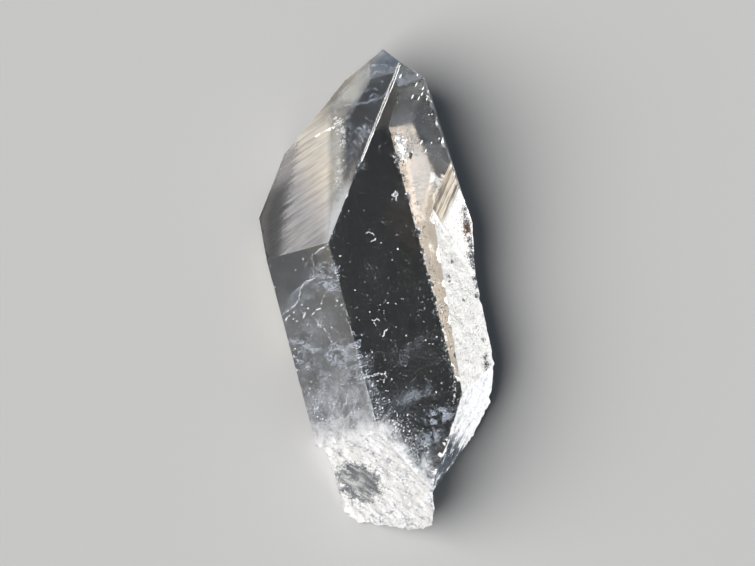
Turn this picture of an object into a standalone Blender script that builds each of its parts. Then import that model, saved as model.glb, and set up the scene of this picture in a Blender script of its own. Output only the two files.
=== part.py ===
"""A single natural quartz crystal, lying on one of its flat prism faces.

Six prism faces of unequal width, three large faces that meet at the tip, a bevel beside the tip, a recess
with a striped ramp down its right front corner, an oblique break at the lower right and a rough broken root.
The long axis is +Y with the tip at +Y, and the widest prism face looks up.
"""

from math import cos, radians, sin, tan

import bmesh
import bpy
from mathutils import Vector, noise
from mathutils.geometry import intersect_point_line

NAME = "quartz_crystal"
MM = 0.001

# Prism: widths of the faces in mm, counted round from the left front one. The last two close the hexagon.
WIDTH_1 = 15.0
WIDTH_2 = 28.0
WIDTH_3 = 6.6
WIDTH_4 = 14.95
PRISM_STEP = 60.0
UP_ANGLE = 90.0
FLARE_3 = 3.2  # face 3 widens the crystal a little towards the root, in degrees

# Termination: slope of each face to the long axis, and how far below the tip it meets its prism face, in mm.
SLOPE_1, DROP_1 = 35.0, 33.1
SLOPE_3, DROP_3 = 40.0, 7.2
SLOPE_5, DROP_5 = 35.2, 14.4
SLOPE_4, DROP_4 = 38.2, 7.6

# The crystal is described as it is seen when it is turned this far about its long axis.
SEEN_TURN = 25.0
PX = 1 / 5.25  # one unit of the seen outline, in mm

# Recess down the right front corner: where its edge starts and ends on the wide front face.
RECESS_TOP = (108.8, -167.0)
RECESS_END = (91.0, -340.0)
RECESS_BACK = (129.0, 101.0, -335.0)
RAMP_TOP = (137.6, -128.0)
RAMP_TILT = 0.40

# How far along the resting face breaks off towards the root.
ROOT_BACK_FROM = -438.0

# Size of the blank that is cut into the crystal, in mm.
BLANK = 240.0

ROOT_RELIEF = 0.42
ROOT_GRAIN = 0.34
ROOT_STEP = 2.3
RIM_KEPT = 0.35
SEED = Vector((11.3, 4.7, 29.1))


def seen(across, depth, along):
    """A point given as it is seen from the front, turned into the crystal's own frame, in mm."""
    c, s = cos(radians(SEEN_TURN)), sin(radians(SEEN_TURN))
    a, d, u = across * PX, depth * PX, along * PX
    return Vector((c * a + s * d, u, s * a - c * d))


def seen_way(across, depth, along):
    c, s = cos(radians(SEEN_TURN)), sin(radians(SEEN_TURN))
    return Vector((c * across + s * depth, along, s * across - c * depth)).normalized()


def on_front(across, along):
    """A point of the seen outline that lies on the wide front face."""
    return seen(across, across * tan(radians(SEEN_TURN)), along)


def prism_way(k):
    """The outward direction of prism face k, where face 2 looks up."""
    a = radians(UP_ANGLE - (k - 2) * PRISM_STEP)
    return Vector((cos(a), 0.0, sin(a)))


def prism_corners():
    """A point on each prism face, with the corner between faces 1 and 2 on the axis."""
    along = {k: prism_way(k).cross(Vector((0, 1, 0))) * -1 for k in range(1, 7)}
    corner_23 = along[2] * WIDTH_2
    corner_34 = corner_23 + along[3] * WIDTH_3
    corner_45 = corner_34 + along[4] * WIDTH_4
    corner_61 = along[1] * -WIDTH_1
    return {1: Vector(), 2: Vector(), 3: corner_23, 4: corner_34, 5: corner_45, 6: corner_61}


def three_points(a, b, c, inside):
    """The plane through three points, facing away from a point inside the crystal."""
    n = (b - a).cross(c - a).normalized()
    return (a, n if n.dot(inside - a) < 0 else -n)


def facets():
    """Every flat face of the crystal as a point and an outward direction."""
    corner = prism_corners()
    planes = {f"prism_{k}": (corner[k], prism_way(k)) for k in range(1, 7)}
    flare = prism_way(3) * cos(radians(FLARE_3)) + Vector((0, sin(radians(FLARE_3)), 0))
    planes["prism_3"] = (corner[3] + Vector((0, -DROP_3, 0)), flare)
    for k, slope, drop in (
        (1, SLOPE_1, DROP_1),
        (3, SLOPE_3, DROP_3),
        (5, SLOPE_5, DROP_5),
        (4, SLOPE_4, DROP_4),
    ):
        way = prism_way(k) * cos(radians(slope)) + Vector((0, sin(radians(slope)), 0))
        planes[f"tip_{k}"] = (corner[k] + Vector((0, -drop, 0)), way)
    inside = seen(30, 70, -250)
    planes["tip_bevel"] = (seen(57.8, 80, -20), seen_way(-0.41, -0.02, 0.91))
    planes["break_upper"] = three_points(
        on_front(84, -363), on_front(46, -422), seen(124.5, 106, -348), inside
    )
    planes["break_middle"] = (seen(95.5, 112, -391), seen_way(0.70, -0.14, -0.70))
    planes["break_lower"] = (seen(66, 120, -419.2), seen_way(0.64, -0.05, -0.77))
    planes["root_front"] = three_points(
        on_front(1, -371), on_front(28, -422), seen(-63, 44.1, -368), inside
    )
    planes["root_end_left"] = (seen(-26, 80, -460), seen_way(-0.38, -0.12, -0.92))
    planes["root_end_right"] = (seen(14, 90, -471), seen_way(0.24, 0.10, -0.97))
    planes["root_back"] = (
        Vector((0, ROOT_BACK_FROM * PX, corner[5].z)), Vector((0.126, -0.26, -0.957)).normalized()
    )
    planes["root_side"] = (seen(31, 80, -454), seen_way(0.94, 0.06, -0.33))
    return planes


# The oblique break ends above the stub of root, so these faces are cut in as wedges that stop at its side.
WEDGED = ("break_middle", "break_lower")


def step_side():
    """The left side of the root, set in a little from the prism face above it."""
    return (seen(-56.5, 60, -400), seen_way(-1.0, 0.0, -0.02))


ROUGH = ("break_", "root_")


def cut(bm, point, way):
    """Cuts everything beyond a plane off a closed convex body and closes the cut."""
    geom = bm.verts[:] + bm.edges[:] + bm.faces[:]
    bmesh.ops.bisect_plane(
        bm, geom=geom, dist=1e-6, plane_co=point, plane_no=way, clear_outer=True
    )
    rim = [e for e in bm.edges if e.is_boundary]
    if rim:
        bmesh.ops.contextual_create(bm, geom=rim)


def blank(planes):
    """A cube cut down to the body that all the planes enclose."""
    bm = bmesh.new()
    bmesh.ops.create_cube(bm, size=BLANK)
    bmesh.ops.translate(bm, verts=bm.verts[:], vec=Vector((0, -45, 0)))
    for point, way in planes:
        cut(bm, point, way)
    bmesh.ops.recalc_face_normals(bm, faces=bm.faces[:])
    return bm


def as_object(bm, name, collection):
    mesh = bpy.data.meshes.new(name)
    bm.to_mesh(mesh)
    bm.free()
    ob = bpy.data.objects.new(name, mesh)
    collection.objects.link(ob)
    return ob


def cutter_object(bm, name, collection):
    ob = as_object(bm, name, collection)
    ob.hide_render = True
    ob.display_type = "WIRE"
    return ob


def take_away(body, cutter):
    m = body.modifiers.new("cut_" + cutter.name, "BOOLEAN")
    m.operation, m.solver, m.object = "DIFFERENCE", "EXACT", cutter


def settle(ob):
    """Makes the cuts final, so that the body can be worked on as one mesh."""
    dg = bpy.context.evaluated_depsgraph_get()
    mesh = bpy.data.meshes.new_from_object(ob.evaluated_get(dg))
    ob.modifiers.clear()
    ob.data = mesh
    bpy.context.view_layer.update()


def recess_planes():
    """The wedge taken out of the right front corner: a steep wall and the ramp above it."""
    top, end = on_front(*RECESS_TOP), on_front(*RECESS_END)
    wall = three_points(top, end, seen(*RECESS_BACK), seen(30, 70, -250))
    rise = on_front(*RAMP_TOP) - top
    side = Vector((rise.y, -rise.x, 0)).normalized()
    ramp_way = (side * RAMP_TILT + Vector((0, 0, 1))).normalized()
    # the wedge lies beyond both, so its own faces look the other way
    return [(wall[0], -wall[1]), (top, -ramp_way)]


def roughen(bm, planes):
    """Breaks the broken faces up into an uneven grain. The prism and tip faces stay flat."""
    rough = [v for k, v in planes.items() if k.startswith(ROUGH)]
    rough.append(step_side())

    def lies_on(co, plane, within=1e-3):
        return abs((co - plane[0]).dot(plane[1])) < within

    def broken(face):
        return any(
            all(lies_on(v.co, p) for v in face.verts) and face.normal.dot(p[1]) > 0.99
            for p in rough
        )

    # edges shared with a flat face stay whole, so that the flat face keeps its own corners only
    for _ in range(6):
        bmesh.ops.triangulate(bm, faces=[f for f in bm.faces if broken(f)])
        faces = {f for f in bm.faces if broken(f)}
        bm.edges.index_update()
        long = sorted(
            {e for f in faces for e in f.edges if e.calc_length() > ROOT_STEP and faces.issuperset(e.link_faces)},
            key=lambda e: e.index,
        )
        if not long:
            break
        bmesh.ops.subdivide_edges(bm, edges=long, cuts=1)
    # evens the grid out within each face, which also draws its points away from the edges
    for _ in range(8):
        bmesh.ops.beautify_fill(bm, faces=[f for f in bm.faces if broken(f)], edges=[])
        bm.normal_update()
        within = [
            v
            for v in bm.verts
            if all(broken(f) and f.normal.dot(v.link_faces[0].normal) > 0.99999 for f in v.link_faces)
        ]
        bmesh.ops.smooth_vert(
            bm, verts=within, factor=0.5, use_axis_x=True, use_axis_y=True, use_axis_z=True
        )
    bm.normal_update()
    faces = {f for f in bm.faces if broken(f)}
    rim = [
        tuple(v.co.copy() for v in e.verts)
        for e in bm.edges
        if 0 < len(faces.intersection(e.link_faces)) < len(e.link_faces)
    ]

    def to_rim(co):
        near = BLANK
        for a, b in rim:
            at, t = intersect_point_line(co, a, b)
            near = min(near, (co - a.lerp(b, min(max(t, 0.0), 1.0))).length)
        return near

    # the grain only bites inwards, and it fades out at the edges of the flat faces
    moved = {}
    for v in {v for f in faces for v in f.verts}:
        p = v.co * ROOT_GRAIN + SEED
        h = noise.noise(p) + 0.55 * noise.noise(p * 2.7)
        fade = min(max(to_rim(v.co) - RIM_KEPT, 0.0) / ROOT_STEP, 1.0)
        moved[v] = v.normal * (ROOT_RELIEF * fade * (min(h, 0.6) - 0.6))
    for v, way in moved.items():
        v.co += way


def build():
    for ob in list(bpy.data.objects):
        bpy.data.objects.remove(ob, do_unlink=True)
    made = bpy.data.collections.new(NAME)
    cutters = bpy.data.collections.new("cutters")
    for c in (made, cutters):
        bpy.context.scene.collection.children.link(c)

    planes = facets()
    apart = WEDGED + ("root_side",)
    body = as_object(blank(v for k, v in planes.items() if k not in apart), NAME, made)

    # the ramp and wall of the recess at the right front corner
    take_away(body, cutter_object(blank(recess_planes()), "recess", cutters))

    # the lower part of the oblique break, which turns in above the stub of root
    for key in WEDGED:
        settle(body)
        wedge = [(planes[k][0], -planes[k][1]) for k in (key, "root_side")]
        take_away(body, cutter_object(blank(wedge), key, cutters))
    settle(body)

    # a small step where the left prism face breaks off into the root
    left = step_side()
    step = [
        (left[0], -left[1]),
        (seen(-63, 60, -366), seen_way(0.15, 0.0, 0.98)),
        (seen(-63, 60, -366), seen_way(0.62, -0.1, 0.78)),
    ]
    take_away(body, cutter_object(blank(step), "step", cutters))
    settle(body)

    # a clear hollow in the front of the root, like a thumb mark
    bm = bmesh.new()
    bmesh.ops.create_icosphere(bm, subdivisions=4, radius=9.0)
    bmesh.ops.scale(bm, vec=Vector((0.62, 0.85, 1.0)), verts=bm.verts[:])
    floor = planes["root_front"]
    spot = seen(-28, 60, -410)
    spot -= floor[1] * (spot - floor[0]).dot(floor[1])
    bmesh.ops.translate(bm, verts=bm.verts[:], vec=spot + floor[1] * 7.6)
    hollow = cutter_object(bm, "hollow", cutters)

    take_away(body, hollow)
    settle(body)

    # real size, resting on the flat face at the back, with the origin under the middle of the box
    bm = bmesh.new()
    bm.from_mesh(body.data)
    bmesh.ops.remove_doubles(bm, verts=bm.verts[:], dist=2e-4)
    bmesh.ops.dissolve_limit(bm, angle_limit=radians(0.05), verts=bm.verts[:], edges=bm.edges[:])
    roughen(bm, planes)
    bmesh.ops.scale(bm, vec=Vector((MM, MM, MM)), verts=bm.verts[:])
    low = Vector([min(v.co[i] for v in bm.verts) for i in range(3)])
    high = Vector([max(v.co[i] for v in bm.verts) for i in range(3)])
    bmesh.ops.translate(
        bm, verts=bm.verts[:], vec=Vector((-(low.x + high.x) / 2, -(low.y + high.y) / 2, -low.z))
    )
    bmesh.ops.triangulate(bm, faces=bm.faces[:])
    bmesh.ops.recalc_face_normals(bm, faces=bm.faces[:])
    bm.to_mesh(body.data)
    bm.free()
    body.data.name = NAME

    mat = bpy.data.materials.new("clear_quartz")
    mat.use_nodes = True
    p = mat.node_tree.nodes["Principled BSDF"]
    p.inputs["Base Color"].default_value = (0.86, 0.88, 0.89, 1)
    p.inputs["Roughness"].default_value = 0.08
    p.inputs["Metallic"].default_value = 0.0
    p.inputs["IOR"].default_value = 1.544
    body.data.materials.clear()
    body.data.materials.append(mat)


build()
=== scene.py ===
"""The look of a natural quartz crystal, lying on one of its flat prism faces.

The body is tessellated from the same flat faces as the part and gets its fine relief here: worn and chipped edges,
growth steps, etch marks, the frosted recess and the granular root. Small flecks, veils and growth lines are sealed
inside it. Everything is made in millimetres in the crystal's own frame and then moved into the part's frame.
"""

from math import cos, pi, radians, sin, tan

import bmesh
import bpy
import numpy as np
from mathutils import Matrix, Vector, noise
from mathutils.geometry import delaunay_2d_cdt


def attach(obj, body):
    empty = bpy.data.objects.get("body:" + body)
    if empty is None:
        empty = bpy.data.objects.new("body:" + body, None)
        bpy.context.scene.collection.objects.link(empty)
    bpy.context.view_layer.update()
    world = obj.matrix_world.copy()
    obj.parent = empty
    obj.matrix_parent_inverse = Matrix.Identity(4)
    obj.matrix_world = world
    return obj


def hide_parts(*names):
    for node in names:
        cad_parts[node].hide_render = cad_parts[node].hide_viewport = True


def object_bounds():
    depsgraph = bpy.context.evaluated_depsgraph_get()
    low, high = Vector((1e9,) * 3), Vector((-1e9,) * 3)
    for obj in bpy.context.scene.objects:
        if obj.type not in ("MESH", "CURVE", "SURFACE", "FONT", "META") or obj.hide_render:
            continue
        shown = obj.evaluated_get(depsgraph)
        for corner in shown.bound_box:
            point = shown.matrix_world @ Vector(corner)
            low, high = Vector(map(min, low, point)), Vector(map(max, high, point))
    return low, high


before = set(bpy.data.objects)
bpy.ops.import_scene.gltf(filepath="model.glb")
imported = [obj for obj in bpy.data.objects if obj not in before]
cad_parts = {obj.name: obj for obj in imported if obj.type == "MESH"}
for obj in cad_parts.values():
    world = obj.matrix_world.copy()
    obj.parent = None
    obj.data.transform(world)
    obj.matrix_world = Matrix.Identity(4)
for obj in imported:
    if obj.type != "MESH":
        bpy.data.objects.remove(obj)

CAD_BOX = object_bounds()
NODE = "quartz_crystal"
MM = 0.001
RNG = np.random.default_rng(7)

# ------------------------------------------------------------------ the crystal's flat faces, as in the part

WIDTH_1, WIDTH_2, WIDTH_3, WIDTH_4 = 15.0, 28.0, 6.6, 14.95
FLARE_3 = 3.2
SLOPES = ((1, 35.0, 33.1), (3, 40.0, 7.2), (5, 35.2, 14.4), (4, 38.2, 7.6))
SEEN_TURN = 25.0
PX = 1 / 5.25
RECESS_TOP, RECESS_END, RECESS_BACK = (108.8, -167.0), (91.0, -340.0), (129.0, 101.0, -335.0)
RAMP_TOP, RAMP_TILT = (137.6, -128.0), 0.40
ROOT_BACK_FROM = -438.0
BLANK = 240.0
CT, ST = cos(radians(SEEN_TURN)), sin(radians(SEEN_TURN))


def seen(across, depth, along):
    """A point given as it is seen from the front, turned into the crystal's own frame, in mm."""
    a, d, u = across * PX, depth * PX, along * PX
    return Vector((CT * a + ST * d, u, ST * a - CT * d))


def seen_way(across, depth, along):
    return Vector((CT * across + ST * depth, along, ST * across - CT * depth)).normalized()


def on_front(across, along):
    return seen(across, across * tan(radians(SEEN_TURN)), along)


def prism_way(k):
    a = radians(90.0 - (k - 2) * 60.0)
    return Vector((cos(a), 0.0, sin(a)))


def three_points(a, b, c, inside):
    n = (b - a).cross(c - a).normalized()
    return (a, n if n.dot(inside - a) < 0 else -n)


def facets():
    along = {k: prism_way(k).cross(Vector((0, 1, 0))) * -1 for k in range(1, 7)}
    c23 = along[2] * WIDTH_2
    c34 = c23 + along[3] * WIDTH_3
    c45 = c34 + along[4] * WIDTH_4
    corner = {1: Vector(), 2: Vector(), 3: c23, 4: c34, 5: c45, 6: along[1] * -WIDTH_1}
    planes = {f"prism_{k}": (corner[k], prism_way(k)) for k in range(1, 7)}
    flare = prism_way(3) * cos(radians(FLARE_3)) + Vector((0, sin(radians(FLARE_3)), 0))
    planes["prism_3"] = (corner[3] + Vector((0, -SLOPES[1][2], 0)), flare)
    for k, slope, drop in SLOPES:
        way = prism_way(k) * cos(radians(slope)) + Vector((0, sin(radians(slope)), 0))
        planes[f"tip_{k}"] = (corner[k] + Vector((0, -drop, 0)), way)
    inside = seen(30, 70, -250)
    planes["tip_bevel"] = (seen(57.8, 80, -20), seen_way(-0.41, -0.02, 0.91))
    planes["break_upper"] = three_points(
        on_front(84, -363), on_front(46, -422), seen(124.5, 106, -348), inside
    )
    planes["break_middle"] = (seen(95.5, 112, -391), seen_way(0.70, -0.14, -0.70))
    planes["break_lower"] = (seen(66, 120, -419.2), seen_way(0.64, -0.05, -0.77))
    planes["root_front"] = three_points(
        on_front(1, -371), on_front(28, -422), seen(-63, 44.1, -368), inside
    )
    planes["root_end_left"] = (seen(-26, 80, -460), seen_way(-0.38, -0.12, -0.92))
    planes["root_end_right"] = (seen(14, 90, -471), seen_way(0.24, 0.10, -0.97))
    planes["root_back"] = (
        Vector((0, ROOT_BACK_FROM * PX, corner[5].z)), Vector((0.126, -0.26, -0.957)).normalized()
    )
    planes["root_side"] = (seen(31, 80, -454), seen_way(0.94, 0.06, -0.33))
    return planes


PLANES = facets()
WEDGED = ("break_middle", "break_lower")
STEP_SIDE = (seen(-56.5, 60, -400), seen_way(-1.0, 0.0, -0.02))
STEP_TOP = (seen(-63, 60, -366), seen_way(0.15, 0.0, 0.98))
STEP_TOP_2 = (seen(-63, 60, -366), seen_way(0.62, -0.1, 0.78))


def recess_planes():
    top, end = on_front(*RECESS_TOP), on_front(*RECESS_END)
    wall = three_points(top, end, seen(*RECESS_BACK), seen(30, 70, -250))
    rise = on_front(*RAMP_TOP) - top
    side = Vector((rise.y, -rise.x, 0)).normalized()
    ramp_way = (side * RAMP_TILT + Vector((0, 0, 1))).normalized()
    return (wall[0], wall[1]), (top, ramp_way)


WALL, RAMP = recess_planes()
TABLE = dict(PLANES)
TABLE["wall"], TABLE["ramp"] = WALL, RAMP
TABLE["root_step"] = STEP_SIDE
TABLE["root_ledge"] = (STEP_TOP[0], -STEP_TOP[1])
TABLE["root_ledge_2"] = (STEP_TOP_2[0], -STEP_TOP_2[1])


def cut(bm, point, way):
    geom = bm.verts[:] + bm.edges[:] + bm.faces[:]
    bmesh.ops.bisect_plane(bm, geom=geom, dist=1e-6, plane_co=point, plane_no=way, clear_outer=True)
    rim = [e for e in bm.edges if e.is_boundary]
    if rim:
        bmesh.ops.contextual_create(bm, geom=rim)


def blank(planes):
    bm = bmesh.new()
    bmesh.ops.create_cube(bm, size=BLANK)
    bmesh.ops.translate(bm, verts=bm.verts[:], vec=Vector((0, -45, 0)))
    for point, way in planes:
        cut(bm, point, way)
    bmesh.ops.recalc_face_normals(bm, faces=bm.faces[:])
    return bm


def temporary(bm, name):
    mesh = bpy.data.meshes.new(name)
    bm.to_mesh(mesh)
    bm.free()
    ob = bpy.data.objects.new(name, mesh)
    bpy.context.scene.collection.objects.link(ob)
    return ob


def flat_body():
    """The crystal as one body of large flat faces, before any relief."""
    apart = WEDGED + ("root_side",)
    body = temporary(blank(v for k, v in PLANES.items() if k not in apart), "flat_body")
    wedges = [[(p, -n) for p, n in (WALL, RAMP)]]
    wedges += [[(PLANES[k][0], -PLANES[k][1]) for k in (key, "root_side")] for key in WEDGED]
    wedges.append([(STEP_SIDE[0], -STEP_SIDE[1]), STEP_TOP, STEP_TOP_2])
    for planes in wedges:
        cutter = temporary(blank(planes), "cutter")
        m = body.modifiers.new("cut", "BOOLEAN")
        m.operation, m.solver, m.object = "DIFFERENCE", "EXACT", cutter
        dg = bpy.context.evaluated_depsgraph_get()
        mesh = bpy.data.meshes.new_from_object(body.evaluated_get(dg))
        body.modifiers.clear()
        old, body.data = body.data, mesh
        bpy.data.meshes.remove(old)
        bpy.data.meshes.remove(cutter.data)
        bpy.context.view_layer.update()
    bm = bmesh.new()
    bm.from_mesh(body.data)
    bpy.data.meshes.remove(body.data)
    bmesh.ops.remove_doubles(bm, verts=bm.verts[:], dist=1e-4)
    bmesh.ops.dissolve_limit(bm, angle_limit=radians(0.05), verts=bm.verts[:], edges=bm.edges[:])
    bm.normal_update()
    return bm


def key_of(face):
    c = face.calc_center_median()
    best = max(
        (k for k, (p, n) in TABLE.items() if abs((c - p).dot(n)) < 0.02),
        key=lambda k: TABLE[k][1].dot(face.normal),
        default=None,
    )
    if best is None or TABLE[best][1].dot(face.normal) < 0.999:
        raise RuntimeError(f"a face at {tuple(c)} belongs to no plane")
    return best


# ------------------------------------------------------------------ small helpers for relief


def fbm(p, scale, octaves=3, seed=0.0):
    """Fractal noise of one point, about -1 to 1."""
    q = Vector(p) * scale + Vector((seed, seed * 1.7, -seed * 0.6))
    total, amp = 0.0, 1.0
    for _ in range(octaves):
        total += amp * noise.noise(q)
        q = q * 2.07 + Vector((3.1, -1.7, 5.3))
        amp *= 0.5
    return total


def smooth01(x):
    x = min(max(x, 0.0), 1.0)
    return x * x * (3 - 2 * x)


# How worn each kind of edge is: (depth of the chips, how many, steady wear), in mm.
ROUGH_KEYS = ("break_", "root_")
EDGE_WEAR = {
    frozenset(("prism_4", "prism_5")): (0.85, 0.16, 0.0),
    frozenset(("tip_1", "prism_2")): (0.20, 0.10, 0.015),
    frozenset(("prism_1", "prism_2")): (0.30, 0.22, 0.03),
    frozenset(("tip_1", "prism_1")): (0.18, 0.20, 0.03),
    frozenset(("prism_2", "prism_3")): (0.35, 0.05, 0.08),
    frozenset(("prism_2", "tip_3")): (0.35, 0.05, 0.08),
    frozenset(("prism_2", "wall")): (0.30, 0.15, 0.03),
    frozenset(("prism_2", "ramp")): (0.25, 0.20, 0.04),
    frozenset(("prism_3", "prism_4")): (0.45, 0.05, 0.05),
    frozenset(("wall", "prism_4")): (0.45, 0.10, 0.0),
    frozenset(("wall", "prism_3")): (0.45, 0.0, 0.12),
    frozenset(("ramp", "prism_3")): (0.45, 0.0, 0.12),
    frozenset(("prism_6", "prism_1")): (0.22, 0.22, 0.03),
    frozenset(("prism_5", "prism_6")): (0.30, 0.25, 0.0),
}


def wear_of(a, b):
    pair = frozenset((a, b))
    if pair in EDGE_WEAR:
        return EDGE_WEAR[pair]
    rough = [k for k in (a, b) if k.startswith(ROUGH_KEYS)]
    if len(rough) == 2:
        return (1.1, -0.25, 0.25)
    if len(rough) == 1:
        return (0.7, -0.1, 0.10)
    return (0.30, 0.15, 0.05)


def edge_chip(q, wear, seed):
    """How much of an edge is gone at one of its points, in mm."""
    depth, bar, steady = wear
    n = fbm(q, 0.55, 3, seed)
    fine = fbm(q, 2.4, 2, seed + 9)
    chips = max(0.0, n - bar) / (1.2 - bar)
    return max(0.0, depth * chips * (1 + 0.35 * fine) + steady * (0.55 + 0.5 * fine))


def turns_white(a, b, chip, q):
    """Whether a worn place on an edge is crushed white; the others stay glassy."""
    pair = frozenset((a, b))
    if pair == frozenset(("tip_1", "prism_2")):
        return q[1] > -19.7 or fbm(q, 0.9, 2, 58.0) > 0.25
    if pair == frozenset(("prism_4", "prism_5")):
        return chip > 0.26 and fbm(q, 1.3, 2, 55.0) > 0.12
    if pair == frozenset(("prism_3", "prism_4")):
        return fbm(q, 0.9, 2, 56.0) > -0.1
    return chip > 0.2 and fbm(q, 1.1, 2, 57.0) > 0.1


# ------------------------------------------------------------------ relief of the faces, in mm, inwards


def relief_function(key, corner_near):
    """Returns h(point) for one face: how far the surface lies inside the flat face there."""
    p0, n = TABLE[key]

    if key == "wall":
        def h(p, u, v):
            return (
                0.20 + 0.24 * fbm(p, 0.38, 4, 3.0) + 0.14 * abs(fbm(p, 1.7, 2, 5.0))
                + 0.35 * max(0.0, fbm(p, 0.9, 2, 8.0) - 0.3)
            )
        return h, 0.7
    if key == "ramp":
        # growth steps that run beside the diagonal edge
        along = (on_front(*RAMP_TOP) - on_front(*RECESS_TOP)).normalized()
        across = n.cross(along).normalized()

        treads = ((0.0, 0.05), (0.9, 0.34), (1.5, 0.10), (2.1, 0.42), (2.5, 0.22), (3.5, 0.50), (4.0, 0.12), (5.2, 0.40),
                  (6.1, 0.20), (7.0, 0.45), (8.6, 0.15))

        def h(p, u, v):
            s = abs((p - p0).dot(across))
            t = (p - p0).dot(along)
            s = s + 0.22 * fbm((t * 0.16, s * 0.4, 0), 1.0, 2, 4.0)
            low = high = treads[0]
            for tread in treads:
                if tread[0] <= s:
                    low = tread
                    high = tread
                else:
                    high = tread
                    break
            span = max(high[0] - low[0], 0.01)
            x = smooth01((s - low[0]) / span)
            return low[1] * (1 - x) + high[1] * x + 0.07 * fbm((s * 2.6, t * 0.35, 1.0), 1.0, 3, 1.0)
        return h, 0.5
    if key.startswith("break_"):
        ridge = (seen(83, 100, -380) - seen(60, 100, -420)).normalized()
        side = n.cross(ridge).normalized()

        def h(p, u, v):
            s, t = (p - p0).dot(side), (p - p0).dot(ridge)
            streak = fbm((s * 1.5, t * 0.45, 2.0), 1.0, 4, 6.0)
            return 0.22 + 0.34 * streak + 0.16 * abs(fbm(p, 1.3, 3, 2.0))
        return h, 0.9
    if key.startswith("root_"):
        ridge = (seen(64, 0, -69) - seen(0, 0, 0)).normalized()
        ridge = (ridge - n * ridge.dot(n)).normalized()
        side = n.cross(ridge).normalized()

        def h(p, u, v):
            a = fbm(p, 0.22, 4, 11.0)
            b = abs(fbm(p, 0.9, 3, 21.0))
            s, t = (p - p0).dot(side), (p - p0).dot(ridge)
            c = abs(fbm((s * 0.75 + 0.3 * a, t * 0.20, 6.0), 1.0, 3, 41.0))
            return max(0.0, 0.34 + 0.50 * a + 0.24 * b + 0.55 * c + 0.10 * fbm(p, 3.1, 2, 31.0))
        return h, 1.1
    if key == "tip_1":
        def h(p, u, v):
            return 0.02 + 0.018 * fbm(p, 0.25, 2, 2.0)
        return h, 1.5

    def h(p, u, v):
        return 0.02 + 0.016 * fbm(p, 0.12, 2, 1.0) + 0.010 * fbm((0, p.y * 0.9, p.x * 0.06), 1.0, 2, 3.0)
    return h, 2.5


HOLLOW_AT = seen(-28, 60, -410)
HOLLOW_AT = HOLLOW_AT - PLANES["root_front"][1] * (HOLLOW_AT - PLANES["root_front"][0]).dot(
    PLANES["root_front"][1]
)
MESH_STEP = {"wall": 0.34, "ramp": 0.30, "break_": 0.33, "root_": 0.36, "tip_1": 1.0}


def step_of(key):
    for k, s in MESH_STEP.items():
        if key.startswith(k):
            return s
    return 1.3


CLEAR, FROSTED, MILKY, ETCHED, VEILED, STEPPED, BROKEN = 0, 1, 2, 3, 4, 5, 6


def slot_of(key):
    if key == "wall":
        return FROSTED
    if key == "ramp":
        return STEPPED
    if key.startswith("break_"):
        return BROKEN
    if key.startswith("root_"):
        return MILKY
    return {"tip_1": ETCHED, "prism_1": VEILED}.get(key, CLEAR)


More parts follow.
